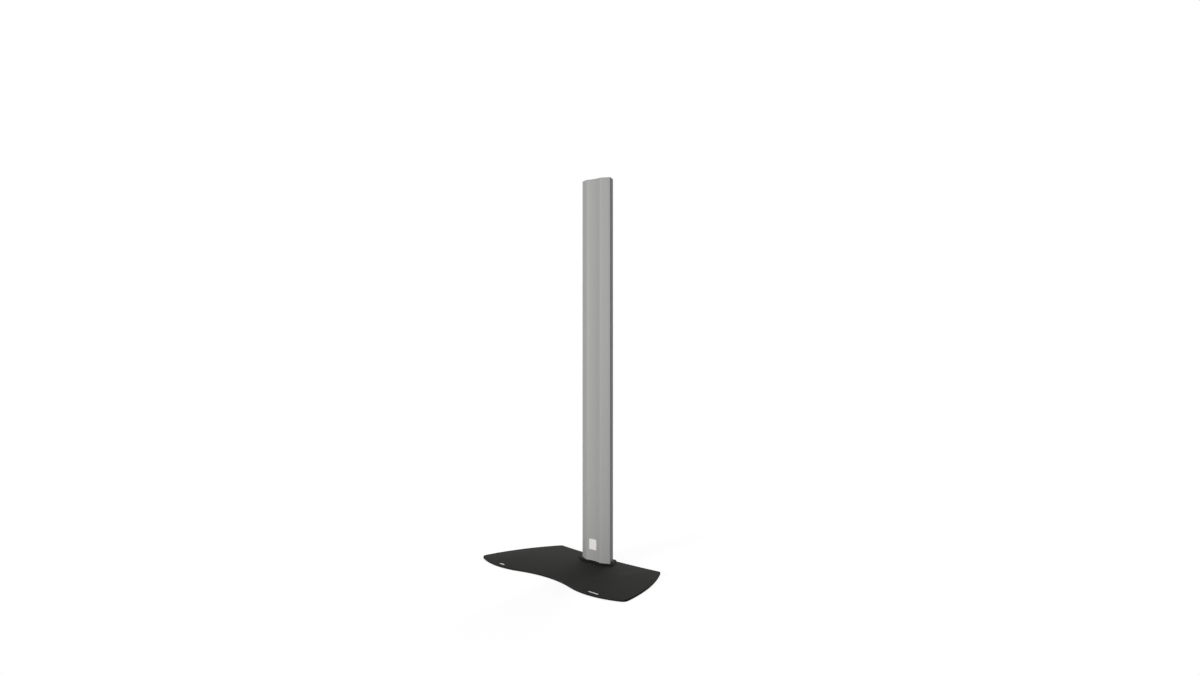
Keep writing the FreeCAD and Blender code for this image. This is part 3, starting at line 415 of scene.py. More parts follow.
# %% Helpers for meshes
SMOOTH_BELOW = 18.0
TURNED_SMOOTH_BELOW = 30.0


@contextmanager
def editing(mesh, source=None):
    """Open a mesh for editing, filled from source if there is one, and write it back."""
    bm = bmesh.new()
    bm.from_mesh(source or mesh)
    yield bm
    bm.to_mesh(mesh)
    bm.free()


def link(name, mesh, material):
    mesh.name = name
    mesh.materials.clear()
    mesh.materials.append(material)
    return new_object(name, mesh)


def merge(bm, distance=1e-6):
    bmesh.ops.remove_doubles(bm, verts=bm.verts, dist=distance)
    bmesh.ops.dissolve_limit(bm, angle_limit=math.radians(0.4), verts=bm.verts, edges=bm.edges)
    bmesh.ops.recalc_face_normals(bm, faces=bm.faces)


def break_edges(bm, width, angle, test=None, clamp=True):
    """Bevel the edges sharper than angle, in degrees, and give the new faces edge = 1."""
    sharp = [e for e in bm.edges if len(e.link_faces) == 2
             and e.calc_face_angle() > math.radians(angle) and (test is None or test(e))]
    made = bmesh.ops.bevel(bm, geom=sharp, offset=width, segments=2, profile=0.5,
                           affect="EDGES", clamp_overlap=clamp)
    layer = bm.loops.layers.float.new("edge")
    for face in made["faces"]:
        for corner in face.loops:
            corner[layer] = 1.0
    return len(sharp)


def smooth(mesh, angle):
    """Shade as one surface what meets at less than angle, in degrees."""
    mesh.shade_smooth()
    mesh.set_sharp_from_angle(angle=math.radians(angle))


print("mesh helpers ready")

# %% [markdown]
# ## Standing in for a CAD piece
# A finer piece takes the place of its CAD node. It rides on the node's body and carries its
# material's slot. The simplest one is a copy of the node with its edges broken.

# %% Standing in for a CAD piece
def stand_in(name, mesh, material, body, node):
    """Put the finished mesh in the place of a CAD node, on its body and with its slot."""
    piece = link(name, mesh, material)
    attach(piece, body)
    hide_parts(node)
    print(f"{name}: {len(mesh.polygons)} faces")


def refine(node, name, material, body, width, clamp=True):
    """Replace a CAD node by a merged copy of it with broken edges and smooth shading."""
    mesh = bpy.data.meshes.new(name)
    with editing(mesh, nodes[node].data) as bm:
        merge(bm)
        count = break_edges(bm, width, 40.0, clamp=clamp)
    smooth(mesh, SMOOTH_BELOW)
    stand_in(name, mesh, material, body, node)
    print(f"    {count} edges broken")


print("stand-in helpers ready")

# %% [markdown]
# ## The base and the flat pieces
# The base plate, its tab, the flange, the upper tab and the cap are cut from sheet. Their outlines
# are right in the CAD, so each is a copy of its node with its edges broken as wide as a file or a
# coat of paint would leave them. A bevel normally stops at the shortest edge nearby. The flange and
# the cap have very short ones along their waved outlines, so theirs is told not to.

# %% The base and the flat pieces
PAINTED_EDGE = 0.0004
BARE_EDGE = 0.0003
refine("base_plate", "base_sheet", BASE_FINISH, "base", PAINTED_EDGE)
refine("base_tab", "base_eye_tab", TAB_FINISH, "base", PAINTED_EDGE)
refine("joint_tab", "upper_eye_tab", TAB_FINISH, "upper_column", PAINTED_EDGE)
refine("foot_flange", "waved_flange", FLANGE_FINISH, "lower_column", PAINTED_EDGE, clamp=False)
refine("top_cap", "column_cap", COLUMN_FINISH, "upper_column", BARE_EDGE, clamp=False)

# %% [markdown]
# ## Walls, corners and arcs
# An outline in this lesson is straight walls with rounded corners. A wall is a point and a
# direction, so moving it inwards is easy, and a corner is where two moved walls cross.

# %% Walls, corners and arcs
def wall_line(start, end, inset):
    """A point and the direction of a wall, moved inwards."""
    way = (end - start).normalized()
    inward = Vector((-way.y, way.x))
    return start + inward * inset, way


def crossing(first, second):
    (p, u), (q, v) = first, second
    t = (q - p).cross(v) / u.cross(v)
    return p + u * t


def arc(centre, radius, start, end, steps):
    """Points on an arc between two angles, both ends included."""
    return [centre + radius * Vector((math.cos(a), math.sin(a)))
            for a in (start + (end - start) * i / steps for i in range(steps + 1))]


def heading(vector):
    return math.atan2(vector.y, vector.x)


def rounded(first, second, radius, steps):
    """The corner between two walls, as points."""
    corner = crossing(first, second)
    if radius <= 0:
        return [corner]
    turn = first[1].angle_signed(second[1])
    back = radius * math.tan(abs(turn) / 2)
    start = corner - first[1] * back
    inward = Vector((-first[1].y, first[1].x))
    centre = start + inward * radius
    from_angle = heading(start - centre)
    return arc(centre, radius, from_angle, from_angle + abs(turn), steps)


print("outline helpers ready")

# %% [markdown]
# ## The column's section
# The column is an extrusion, so one outline says what it is: a shallow valley between two rounded
# ridges, bevelled flanks, and sides that lean inwards to a flat back. The outline is worked out
# from its corners, and the same function moves it inwards for the inner wall.

# %% The column's section
COLUMN_Y = 0.0955
RIDGE = Vector((0.0300, -0.0205))
CORNER = Vector((0.0615, -0.0055))
BACK = Vector((0.0400, 0.0305))
VALLEY_FRONT = -0.0155
RIDGE_RADIUS = 0.012
CORNER_RADIUS = 0.0015
BACK_RADIUS = 0.004
WALL = 0.0025
PORT_INSET = 0.0057

sag = VALLEY_FRONT - RIDGE.y
VALLEY_RADIUS = (RIDGE.x ** 2 + sag ** 2) / (2 * sag)
VALLEY_CENTRE = Vector((0.0, VALLEY_FRONT - VALLEY_RADIUS))


def ridge_centre():
    """Centre of the rounding that touches the flank and the valley's arc."""
    point, way = wall_line(RIDGE, CORNER, RIDGE_RADIUS)
    offset = point - VALLEY_CENTRE
    reach = VALLEY_RADIUS + RIDGE_RADIUS
    half = offset.dot(way)
    return point + way * (-half + math.sqrt(half ** 2 - offset.dot(offset) + reach ** 2))


def mirrored(point):
    return Vector((-point.x, point.y))


def section_walls(inset):
    """The right flank, the right side and the rear wall, moved inwards."""
    ends = ((RIDGE, CORNER), (CORNER, BACK), (BACK, mirrored(BACK)))
    return [wall_line(start, end, inset) for start, end in ends]


def section_outline(inset):
    """The closed outline as a list of points, moved inwards by inset."""
    centre = ridge_centre()
    to_ridge = heading(centre - VALLEY_CENTRE)
    flank, side, rear = section_walls(inset)
    half = arc(VALLEY_CENTRE, VALLEY_RADIUS + inset, math.pi / 2, to_ridge, 14)
    half += arc(centre, RIDGE_RADIUS - inset, to_ridge - math.pi,
                heading(flank[1]) - math.pi / 2, 10)[1:]
    half += rounded(flank, side, CORNER_RADIUS - inset, 5)
    half += rounded(side, rear, BACK_RADIUS - inset, 7)
    return half + [mirrored(p) for p in reversed(half[1:])]


def port_places():
    """Centres of the four screw ports, the same distance in from both walls of their corner."""
    flank, side, rear = section_walls(PORT_INSET)
    right = [crossing(flank, side), crossing(side, rear)]
    return right + [mirrored(p) for p in right]


print("outline points", len(section_outline(0.0)))
print("ports", [tuple(round(c, 4) for c in p) for p in port_places()])

# %% [markdown]
# ## A column from Geometry Nodes
# The real column is pushed through a die and sawn to length, and the tree works the same way: it
# fills the two outlines, extrudes the face, adds a screw port in each corner and then cuts the
# ports' holes and the holes in the back. Its length, ports and holes are named inputs. Every tree
# in this lesson takes a finish and ends alike, by making copies real and giving them the finish,
# so there are helpers for both.

# %% A column from Geometry Nodes
def geometry_tree(name, inputs):
    return new_group(name, "GeometryNodeTree", {
        **inputs, "Finish": ("NodeSocketMaterial", None)}, {"Geometry": "NodeSocketGeometry"})


def object_geometry(tree, source):
    return add(tree, "GeometryNodeObjectInfo", {"Object": source}).outputs["Geometry"]


def end_tree(tree, geometry, given, result):
    real = output(tree, "GeometryNodeRealizeInstances", {0: geometry})
    finished = output(tree, "GeometryNodeSetMaterial", {
        "Geometry": real, "Material": given["Finish"]})
    tree.links.new(finished, result["Geometry"])


def extruded_column():
    tree, given, result = geometry_tree("extruded_column", {
        "Outlines": ("NodeSocketGeometry", None),
        "Length": (FLOAT, 0.6),
        "Foot": (FLOAT, 0.0),
        "Port Radius": (FLOAT, 0.0042),
        "Port Hole Radius": (FLOAT, 0.0018),
        "Port Places": ("NodeSocketObject", None),
        "Cutters": ("NodeSocketObject", None),
    })
    outlines = output(tree, "GeometryNodeMeshToCurve", {"Mesh": given["Outlines"]})
    face = output(tree, "GeometryNodeFillCurve", {"Curve": outlines})
    up = output(tree, "ShaderNodeCombineXYZ", {"Z": given["Length"]})
    sides = output(tree, "GeometryNodeExtrudeMesh", {
        "Mesh": face, "Offset": up, "Individual": False})
    foot = output(tree, "GeometryNodeFlipFaces", {"Mesh": face})
    tube = output(tree, "GeometryNodeJoinGeometry", {"Geometry": [sides, foot]})
    tube = output(tree, "GeometryNodeMergeByDistance", {"Geometry": tube, "Distance": 1e-6})
    centres = object_geometry(tree, given["Port Places"])
    halfway = output(tree, "ShaderNodeVectorMath", {0: up, "Scale": 0.5}, operation="SCALE")
    longer = math_node(tree, "ADD", given["Length"], 0.01)

    def bars(radius, depth):
        """An upright bar in every port."""
        bar = output(tree, "GeometryNodeMeshCylinder", {
            "Vertices": 32, "Radius": radius, "Depth": depth})
        raised = output(tree, "GeometryNodeTransform", {"Geometry": bar, "Translation": halfway})
        placed = output(tree, "GeometryNodeInstanceOnPoints", {
            "Points": centres, "Instance": raised})
        return output(tree, "GeometryNodeRealizeInstances", {0: placed})

    solid = output(tree, "GeometryNodeMeshBoolean", {
        "Mesh 2": [tube, bars(given["Port Radius"], given["Length"])]},
        operation="UNION", solver="EXACT")
    cutters = object_geometry(tree, given["Cutters"])
    bored = output(tree, "GeometryNodeMeshBoolean", {
        "Mesh 1": solid, "Mesh 2": [bars(given["Port Hole Radius"], longer), cutters]},
        operation="DIFFERENCE", solver="EXACT")
    lift = output(tree, "ShaderNodeCombineXYZ", {"Y": COLUMN_Y, "Z": given["Foot"]})
    lifted = output(tree, "GeometryNodeTransform", {"Geometry": bored, "Translation": lift})
    end_tree(tree, lifted, given, result)
    return tree


EXTRUDED_COLUMN = extruded_column()
print("tree", EXTRUDED_COLUMN.name, len(EXTRUDED_COLUMN.nodes), "nodes")

# %% [markdown]
# ## Running a tree
# A tree runs as a modifier. Its inputs are set by the sockets' identifiers, the evaluated result is
# turned into a plain mesh, and the modifier goes. What is left is a mesh like any other.

# %% Running a tree
def helper_mesh(name, points, edges=()):
    mesh = bpy.data.meshes.new(name)
    mesh.from_pydata([Vector(p) for p in points], edges, ())
    return new_object(name, mesh)


def plain_mesh(piece):
    """The piece's mesh as its modifiers leave it."""
    bpy.context.view_layer.update()
    ready = piece.evaluated_get(bpy.context.evaluated_depsgraph_get())
    return bpy.data.meshes.new_from_object(ready)


def run_tree(tree, start, values):
    """Evaluate the tree on a helper object and return the plain mesh."""
    modifier = start.modifiers.new(tree.name, "NODES")
    modifier.node_group = tree
    for socket in tree.interface.items_tree:
        if socket.item_type == "SOCKET" and socket.in_out == "INPUT" and socket.name in values:
            modifier[socket.identifier] = values[socket.name]
    start.update_tag()
    mesh = plain_mesh(start)
    start.modifiers.remove(modifier)
    return mesh


def forget(*helpers):
    for helper in helpers:
        bpy.data.objects.remove(helper)


print("tree runner ready")

# %% [markdown]
# ## Holes and sawn ends
# A hole in the back is cut with a round bar, and a slot with a stretched one. Only the sawn ends of
# a column lose their sharp rim: the long edges already have their rounding from the die. The rim is
# drawn in to a slightly smaller outline instead of bevelled, because a bevel stops at the shortest
# edge, and the ports leave tiny ones.

# %% Holes and sawn ends
CUTTER_ENDS = (0.021, 0.041)
CUTTER_STEPS = 40


def round_cutter(bm, x, z, radius, stretch=0.0):
    """A bar along Y through the rear wall, stretched across into a slot if asked."""
    rims = []
    for y in CUTTER_ENDS:
        ring = []
        for i in range(CUTTER_STEPS):
            a = 2 * math.pi * (i + 0.5) / CUTTER_STEPS
            across = x + radius * math.cos(a) + math.copysign(stretch, math.cos(a))
            ring.append(bm.verts.new((across, y, z + radius * math.sin(a))))
        rims.append(ring)
    front, rear = rims
    bm.faces.new(front)
    bm.faces.new(list(reversed(rear)))
    for i in range(CUTTER_STEPS):
        j = (i + 1) % CUTTER_STEPS
        bm.faces.new((front[j], front[i], rear[i], rear[j]))


def break_ends(bm, foot, head, width):
    """Draw the outer rim of both sawn ends in by the width and give the new faces edge = 1."""
    outer, drawn_in = section_outline(0.0), section_outline(width)
    moved = set()
    for end, band in ((foot, foot + width), (head, head - width)):
        bmesh.ops.bisect_plane(bm, geom=[*bm.verts, *bm.edges, *bm.faces], dist=1e-7,
                               plane_co=(0.0, 0.0, band), plane_no=(0.0, 0.0, 1.0))
        for vert in bm.verts:
            if abs(vert.co.z - end) < 1e-6:
                place = (vert.co.x, vert.co.y - COLUMN_Y)
                nearest = min(range(len(outer)), key=lambda i: math.dist(outer[i], place))
                if math.dist(outer[nearest], place) < 2e-5:
                    vert.co.x, vert.co.y = drawn_in[nearest][0], drawn_in[nearest][1] + COLUMN_Y
                    moved.add(vert)
    layer = bm.loops.layers.float.new("edge")
    for face in bm.faces:
        levels = [v.co.z for v in face.verts]
        if max(levels) - min(levels) > width / 2 and any(v in moved for v in face.verts):
            for corner in face.loops:
                corner[layer] = 1.0
    return len(moved)


print("hole and rim helpers ready")

# %% [markdown]
# ## Cutting both columns
# The lower column has holes in its back for the block screws and the two bushes, and a slot for the
# cable. The upper one needs only its block screws. A hole is a place across and up, a radius, and
# for the slot a stretch to either side. The heights of the others come from the CAD pieces in them.

# %% Cutting both columns
SCREW_X = 0.024
SCREW_HOLE = 0.00255
LOCK_X = 0.010
BUSH_HOLE = 0.0055
CABLE_SLOT = (0.0, 0.105, 0.005, 0.005)


def middle(node):
    """The middle of a CAD node's box."""
    return [(low + high) / 2 for low, high in zip(*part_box(node))]


def cut_column(name, node, body, holes):
    low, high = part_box(node)
    cutters = helper_mesh("cutters", [])
    with editing(cutters.data) as bm:
        for x, z, *size in holes:
            round_cutter(bm, x, z - low.z, *size)
        bmesh.ops.recalc_face_normals(bm, faces=bm.faces)
    ports = helper_mesh("ports", [(*p, 0.0) for p in port_places()])
    points, edges = [], []
    for inset in (0.0, WALL):
        loop = section_outline(inset)
        first = len(points)
        points += [(*p, 0.0) for p in loop]
        edges += [(first + i, first + (i + 1) % len(loop)) for i in range(len(loop))]
    outlines = helper_mesh("outlines", points, edges)
    mesh = run_tree(EXTRUDED_COLUMN, outlines, {
        "Length": high.z - low.z, "Foot": low.z, "Port Places": ports, "Cutters": cutters,
        "Finish": COLUMN_FINISH})
    forget(cutters, ports, outlines)
    with editing(mesh) as bm:
        merge(bm)
        count = break_ends(bm, low.z, high.z, BARE_EDGE)
    smooth(mesh, SMOOTH_BELOW)
    stand_in(name, mesh, COLUMN_FINISH, body, node)
    print(f"    {count} of {len(mesh.vertices)} vertices drawn in at the ends")


def screw_holes(node):
    return [(x, middle(node)[2], SCREW_HOLE) for x in (-SCREW_X, SCREW_X)]


lock_levels = {name: middle(f"{name}_lock_bush")[2] for name in ("bottom", "top")}
lower_holes = screw_holes("socket_block_screws") + screw_holes("pin_block_screws")
lower_holes += [(LOCK_X, level, BUSH_HOLE) for level in lock_levels.values()]
cut_column("lower_extrusion", "lower_column", "lower_column", lower_holes + [CABLE_SLOT])
cut_column("upper_extrusion", "upper_column", "upper_column", screw_holes("joint_block_screws"))

# %% [markdown]
# ## Turned pins
# A pin is an outline turned round its axis. The base pins have a round nose, so that a column
# finds them easily, and the joint pins a small chamfer.

# %% Turned pins
BASE_PIN_RADIUS = 0.0075
JOINT_PIN_RADIUS = 0.008


def lathe(name, profile, centre=(0.0, 0.0), steps=72):
    """Turn a list of (radius, height) round an upright axis through centre."""
    mesh = bpy.data.meshes.new(name)
    with editing(mesh) as bm:
        rings = []
        for radius, height in profile:
            angles = [2 * math.pi * i / steps for i in range(steps if radius else 1)]
            rings.append([bm.verts.new((centre[0] + radius * math.cos(a),
                                        centre[1] + radius * math.sin(a), height))
                          for a in angles])
        for low, high in zip(rings, rings[1:]):
            for i in range(steps):
                j = (i + 1) % steps
                if len(low) == 1:
                    bm.faces.new((low[0], high[j], high[i]))
                elif len(high) == 1:
                    bm.faces.new((low[i], low[j], high[0]))
                else:
                    bm.faces.new((low[i], low[j], high[j], high[i]))
        bmesh.ops.recalc_face_normals(bm, faces=bm.faces)
    smooth(mesh, TURNED_SMOOTH_BELOW)
    return mesh


def base_pin_profile(low, high, length=0.005, steps=10):
    """A pin whose end is a quarter of an ellipse."""
    nose = [(BASE_PIN_RADIUS * math.cos(a), high - length + length * math.sin(a))
            for a in (math.pi / 2 * i / steps for i in range(steps))]
    return [(0.0, low), (BASE_PIN_RADIUS, low)] + nose + [(0.0, high)]


def joint_pin_profile(low, high):
    """A pin with a small chamfer, given as steps inwards and down from the top's corner."""
    rim = [(JOINT_PIN_RADIUS - inwards, high - down) for inwards, down in (
        (0.0, 0.0012), (0.0002, 0.0005), (0.0007, 0.0001), (0.0011, 0.0))]
    return [(0.0, low), (JOINT_PIN_RADIUS, low)] + rim + [(0.0, high)]


def stand_pin(node, profile, material, body):
    low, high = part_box(node)
    name = f"{node}_turned"
    mesh = lathe(name, profile(low.z, high.z), middle(node))
    stand_in(name, mesh, material, body, node)


for side in ("left", "right"):
    stand_pin(f"base_pin_{side}", base_pin_profile, BASE_PIN_FINISH, "base")
    stand_pin(f"joint_pin_{side}", joint_pin_profile, JOINT_PIN_FINISH, "lower_column")

# %% [markdown]
# ## Weld beads
# Each base pin is welded to the plate, and a weld is a row of overlapping ripples that follows the
# joint. The tree puts one ball on each point of a circle, a little uneven in size from a fixed
# seed. What would reach below the plate's face is cut off.

# %% Weld beads
WELD_RAISED = 0.0002
WELD_SUNK = 0.0001


def ripples_round_a_pin():
    tree, given, result = geometry_tree("ripples_round_a_pin", {
        "Centre": ("NodeSocketGeometry", None),
        "Ripples": ("NodeSocketInt", 26),
        "Ring Radius": (FLOAT, 0.0082),
        "Ripple Size": (FLOAT, 0.0021),
        "Seed": ("NodeSocketInt", 7),
    })
    ring = output(tree, "GeometryNodeCurvePrimitiveCircle", {
        "Resolution": given["Ripples"], "Radius": given["Ring Radius"]})
    points = add(tree, "GeometryNodeCurveToPoints", {"Curve": ring}, mode="EVALUATED").outputs
    ball = output(tree, "GeometryNodeMeshUVSphere", {
        "Segments": 12, "Rings": 8, "Radius": given["Ripple Size"]})
    swing = add(tree, "FunctionNodeRandomValue", {
        2: 0.85, 3: 1.12, "Seed": given["Seed"]}, data_type="FLOAT").outputs[1]
    height = math_node(tree, "MULTIPLY", swing, 1.25)
    scale = output(tree, "ShaderNodeCombineXYZ", {"X": 1.0, "Y": swing, "Z": height})
    beads = output(tree, "GeometryNodeInstanceOnPoints", {
        "Points": points["Points"], "Instance": ball, "Rotation": points["Rotation"],
        "Scale": scale})
    at_pins = output(tree, "GeometryNodeInstanceOnPoints", {
        "Points": given["Centre"], "Instance": beads})
    end_tree(tree, at_pins, given, result)
    return tree


RIPPLES = ripples_round_a_pin()
plate_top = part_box("base_pin_left")[0].z
feet = helper_mesh("pin_feet", [(middle(f"base_pin_{side}")[0], COLUMN_Y, plate_top + WELD_RAISED)
                                for side in ("left", "right")])
weld_mesh = run_tree(RIPPLES, feet, {"Finish": BASE_PIN_FINISH})
forget(feet)
with editing(weld_mesh) as bm:
    bmesh.ops.bisect_plane(bm, geom=[*bm.verts, *bm.edges, *bm.faces], clear_outer=True,
                           plane_co=(0.0, 0.0, plate_top - WELD_SUNK), plane_no=(0.0, 0.0, -1.0))
    bmesh.ops.holes_fill(bm, edges=[e for e in bm.edges if e.is_boundary])
weld_mesh.shade_smooth()
weld = link("pin_welds", weld_mesh, BASE_PIN_FINISH)
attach(weld, "base")
print(f"pin_welds: {len(weld_mesh.polygons)} faces")

# %% [markdown]
# ## Turning a screw
# A screw is turned like a pin, and a hexagon socket is cut into its head with a six-sided bar. A
# button head is a low dome that ends in a flat.

# %% Turning a screw
BUTTON_SHANK = 0.0025
BUTTON_HEAD = 0.00475
BUTTON_HEIGHT = 0.0027
SCREW_EDGE = 0.00012


def socket_cut(mesh, radius, top, depth):
    """Cut a hexagon socket into the head of an upright screw."""
    cutter = helper_mesh("socket", [])
    with editing(cutter.data) as bm:
        bmesh.ops.create_cone(bm, cap_ends=True, segments=6, radius1=radius, radius2=radius,
                              depth=2 * depth)
        bmesh.ops.translate(bm, verts=bm.verts, vec=(0.0, 0.0, top))
    host = new_object("host", mesh)
    cut = host.modifiers.new("socket", "BOOLEAN")
    cut.object, cut.operation, cut.solver = cutter, "DIFFERENCE", "EXACT"
    made = plain_mesh(host)
    forget(host, cutter)
    return made


def screw_mesh(name, profile, head_top, socket_radius, socket_depth):
    """Turn an upright screw, cut its socket and break its edges."""
    turned = lathe(name, profile, steps=40)
    mesh = socket_cut(turned, socket_radius, head_top, socket_depth)
    with editing(mesh) as bm:
        merge(bm, 1e-7)
        break_edges(bm, SCREW_EDGE, 50.0)
    smooth(mesh, TURNED_SMOOTH_BELOW)
    return mesh


def button_screw(name, grip):
    """A screw with a low round head. grip is the length under its head."""
    dome = [(BUTTON_HEAD * math.cos(a), grip + BUTTON_HEIGHT * (0.2 + 0.8 * math.sin(a)))
            for a in (math.radians(t) for t in (0, 18, 34, 48))]
    profile = [(0.0, 0.0), (BUTTON_SHANK, 0.0), (BUTTON_SHANK, grip), (BUTTON_HEAD, grip)]
    return screw_mesh(name, profile + dome + [(0.0, dome[-1][1])], grip + BUTTON_HEIGHT,
                      socket_radius=0.0016, socket_depth=0.0014)


block_screw = button_screw("block_screw", 0.016)
print(f"{block_screw.name}: {len(block_screw.polygons)} faces")

# %% [markdown]
# ## Setting the screws
# The block screws show their round heads in the back of each column, and two shorter ones hold the
# upper tab. A tree sets copies of a screw on the places where the CAD has them.

# %% Setting the screws
BACKWARDS = (-math.pi / 2, 0.0, 0.0)


def screws_in_holes():
    tree, given, result = geometry_tree("screws_in_holes", {
        "Places": ("NodeSocketGeometry", None),
        "Screw": ("NodeSocketObject", None),
        "Turn": ("NodeSocketVector", None),
    })
    screw = object_geometry(tree, given["Screw"])
    placed = output(tree, "GeometryNodeInstanceOnPoints", {
        "Points": given["Places"], "Instance": screw, "Rotation": given["Turn"]})
    end_tree(tree, placed, given, result)
    return tree


SCREWS_IN_HOLES = screws_in_holes()


def set_screws(node, mesh, places, turn, body):
    pattern = new_object("screw_pattern", mesh)
    points = helper_mesh("screw_places", places)
    made = run_tree(SCREWS_IN_HOLES, points, {
        "Screw": pattern, "Turn": turn, "Finish": SCREW_FINISH})
    forget(pattern, points)
    stand_in(f"{node}_set", made, SCREW_FINISH, body, node)
    print(f"    {len(places)} screws")


for node, body in (("socket_block_screws", "lower_column"), ("pin_block_screws", "lower_column"),
                   ("joint_block_screws", "upper_column")):
    places = [(x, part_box(node)[0].y, middle(node)[2]) for x in (-SCREW_X, SCREW_X)]
    set_screws(node, block_screw, places, BACKWARDS, body)
tab_screw = button_screw("tab_screw", 0.011)
low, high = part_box("tab_screws")
places = [(LOCK_X, low.y, z) for z in (low.z + BUTTON_HEAD, high.z - BUTTON_HEAD)]
set_screws("tab_screws", tab_screw, places, BACKWARDS, "upper_column")

# %% [markdown]
# ## Countersunk screws
# The flange and the cap are held by flat-headed screws in the column's ports. They point down
# through the cap and up through the flange, so the same screw is used turned over. Its head is a
# cone of 90 degrees, as high as it is wider than the shank.

# %% Countersunk screws
FLAT_LENGTH = 0.016
FLAT_SHANK = 0.00175
FLAT_HEAD = 0.0037
UPRIGHT = (0.0, 0.0, 0.0)
TURNED_OVER = (math.pi, 0.0, 0.0)

cone_foot = FLAT_LENGTH - (FLAT_HEAD - FLAT_SHANK)
flat_screw = screw_mesh("plate_screw", [
    (0.0, 0.0), (FLAT_SHANK, 0.0), (FLAT_SHANK, cone_foot), (FLAT_HEAD, FLAT_LENGTH),
    (0.0, FLAT_LENGTH)], FLAT_LENGTH, socket_radius=0.0013, socket_depth=0.0012)
for node, level, turn, body in (
        ("flange_screws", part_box("flange_screws")[1].z, TURNED_OVER, "lower_column"),
        ("cap_screws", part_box("cap_screws")[0].z, UPRIGHT, "upper_column")):
    places = [(p.x, COLUMN_Y + p.y, level) for p in port_places()]
    set_screws(node, flat_screw, places, turn, body)

# %% [markdown]
# ## A lock screw from Geometry Nodes
# The two lock screws stand out of the back. A fluted head gives the fingers a grip, a hexagon in it
# takes a key, and the thread shows between the column and the head. The tree cuts the flutes with a
# ring of bars and winds the thread along a spiral.

# %% A lock screw from Geometry Nodes
LOCK_HEAD_HEIGHT = 0.009


def lock_screw():
    tree, given, result = geometry_tree("lock_screw", {
        "Start": ("NodeSocketGeometry", None),
        "Tip Radius": (FLOAT, 0.003),
        "Tip Length": (FLOAT, 0.004),
        "Shank Radius": (FLOAT, 0.00395),
        "Shank Length": (FLOAT, 0.0144),
        "Pitch": (FLOAT, 0.00125),
        "Head Radius": (FLOAT, 0.011),
        "Head Height": (FLOAT, LOCK_HEAD_HEIGHT),
        "Flutes": ("NodeSocketInt", 10),
        "Flute Radius": (FLOAT, 0.002),
        "Flute Centre": (FLOAT, 0.012),
        "Key Radius": (FLOAT, 0.003),
        "Key Depth": (FLOAT, 0.004),
    })

    def bar(radius, low, length, steps):
        """An upright bar that stands at the height low."""
        halfway = math_node(tree, "ADD", low, math_node(tree, "MULTIPLY", length, 0.5))
        made = output(tree, "GeometryNodeMeshCylinder", {
            "Vertices": steps, "Radius": radius, "Depth": length})
        return raised(made, halfway)

    def raised(geometry, height):
        lift = output(tree, "ShaderNodeCombineXYZ", {"Z": height})
        return output(tree, "GeometryNodeTransform", {"Geometry": geometry, "Translation": lift})

    def of_pitch(share):
        return math_node(tree, "MULTIPLY", given["Pitch"], share)

    top = math_node(tree, "ADD", given["Shank Length"], given["Head Height"])
    head = bar(given["Head Radius"], given["Shank Length"], given["Head Height"], 96)
    ring = output(tree, "GeometryNodeCurvePrimitiveCircle", {
        "Resolution": given["Flutes"], "Radius": given["Flute Centre"]})
    points = output(tree, "GeometryNodeCurveToPoints", {"Curve": ring}, mode="EVALUATED")
    flute = bar(given["Flute Radius"], math_node(tree, "SUBTRACT", given["Shank Length"], 0.001),
                math_node(tree, "ADD", given["Head Height"], 0.002), 24)
    flutes = output(tree, "GeometryNodeInstanceOnPoints", {"Points": points, "Instance": flute})
    flutes = output(tree, "GeometryNodeRealizeInstances", {0: flutes})
    key = bar(given["Key Radius"], math_node(tree, "SUBTRACT", top, given["Key Depth"]),
              math_node(tree, "MULTIPLY", given["Key Depth"], 2.0), 6)
    cut = output(tree, "GeometryNodeMeshBoolean", {"Mesh 1": head, "Mesh 2": [flutes, key]},
                 operation="DIFFERENCE", solver="EXACT")
    core = math_node(tree, "SUBTRACT", given["Shank Radius"], of_pitch(0.4))
    threaded = math_node(tree, "SUBTRACT", given["Shank Length"], given["Tip Length"])
    shank = bar(core, given["Tip Length"], threaded, 48)
    tip = bar(given["Tip Radius"], 0.0, given["Tip Length"], 48)
    climb = math_node(tree, "SUBTRACT", threaded, given["Pitch"])
    spiral = output(tree, "GeometryNodeCurveSpiral", {
        "Resolution": 40, "Rotations": math_node(tree, "DIVIDE", climb, given["Pitch"]),
        "Start Radius": core, "End Radius": core, "Height": climb})
    ridge = output(tree, "GeometryNodeCurvePrimitiveCircle", {
        "Resolution": 6, "Radius": of_pitch(0.39)})
    thread = output(tree, "GeometryNodeCurveToMesh", {
        "Curve": spiral, "Profile Curve": ridge, "Fill Caps": True})
    thread = raised(thread, math_node(tree, "ADD", given["Tip Length"], of_pitch(0.5)))
    whole = output(tree, "GeometryNodeJoinGeometry", {"Geometry": [cut, shank, tip, thread]})
    end_tree(tree, whole, given, result)
    return tree


LOCK_SCREW = lock_screw()
print("tree", LOCK_SCREW.name, len(LOCK_SCREW.nodes), "nodes")

# %% [markdown]
# ## Both lock screws
# The tree makes an upright screw, which is laid down to point into the rear wall. Only the outer
# rim of its head is broken. Each one rides on a body of its own, because it turns and travels.

# %% Both lock screws
LOCK_EDGE = 0.0004
KEY_ZONE = 0.005


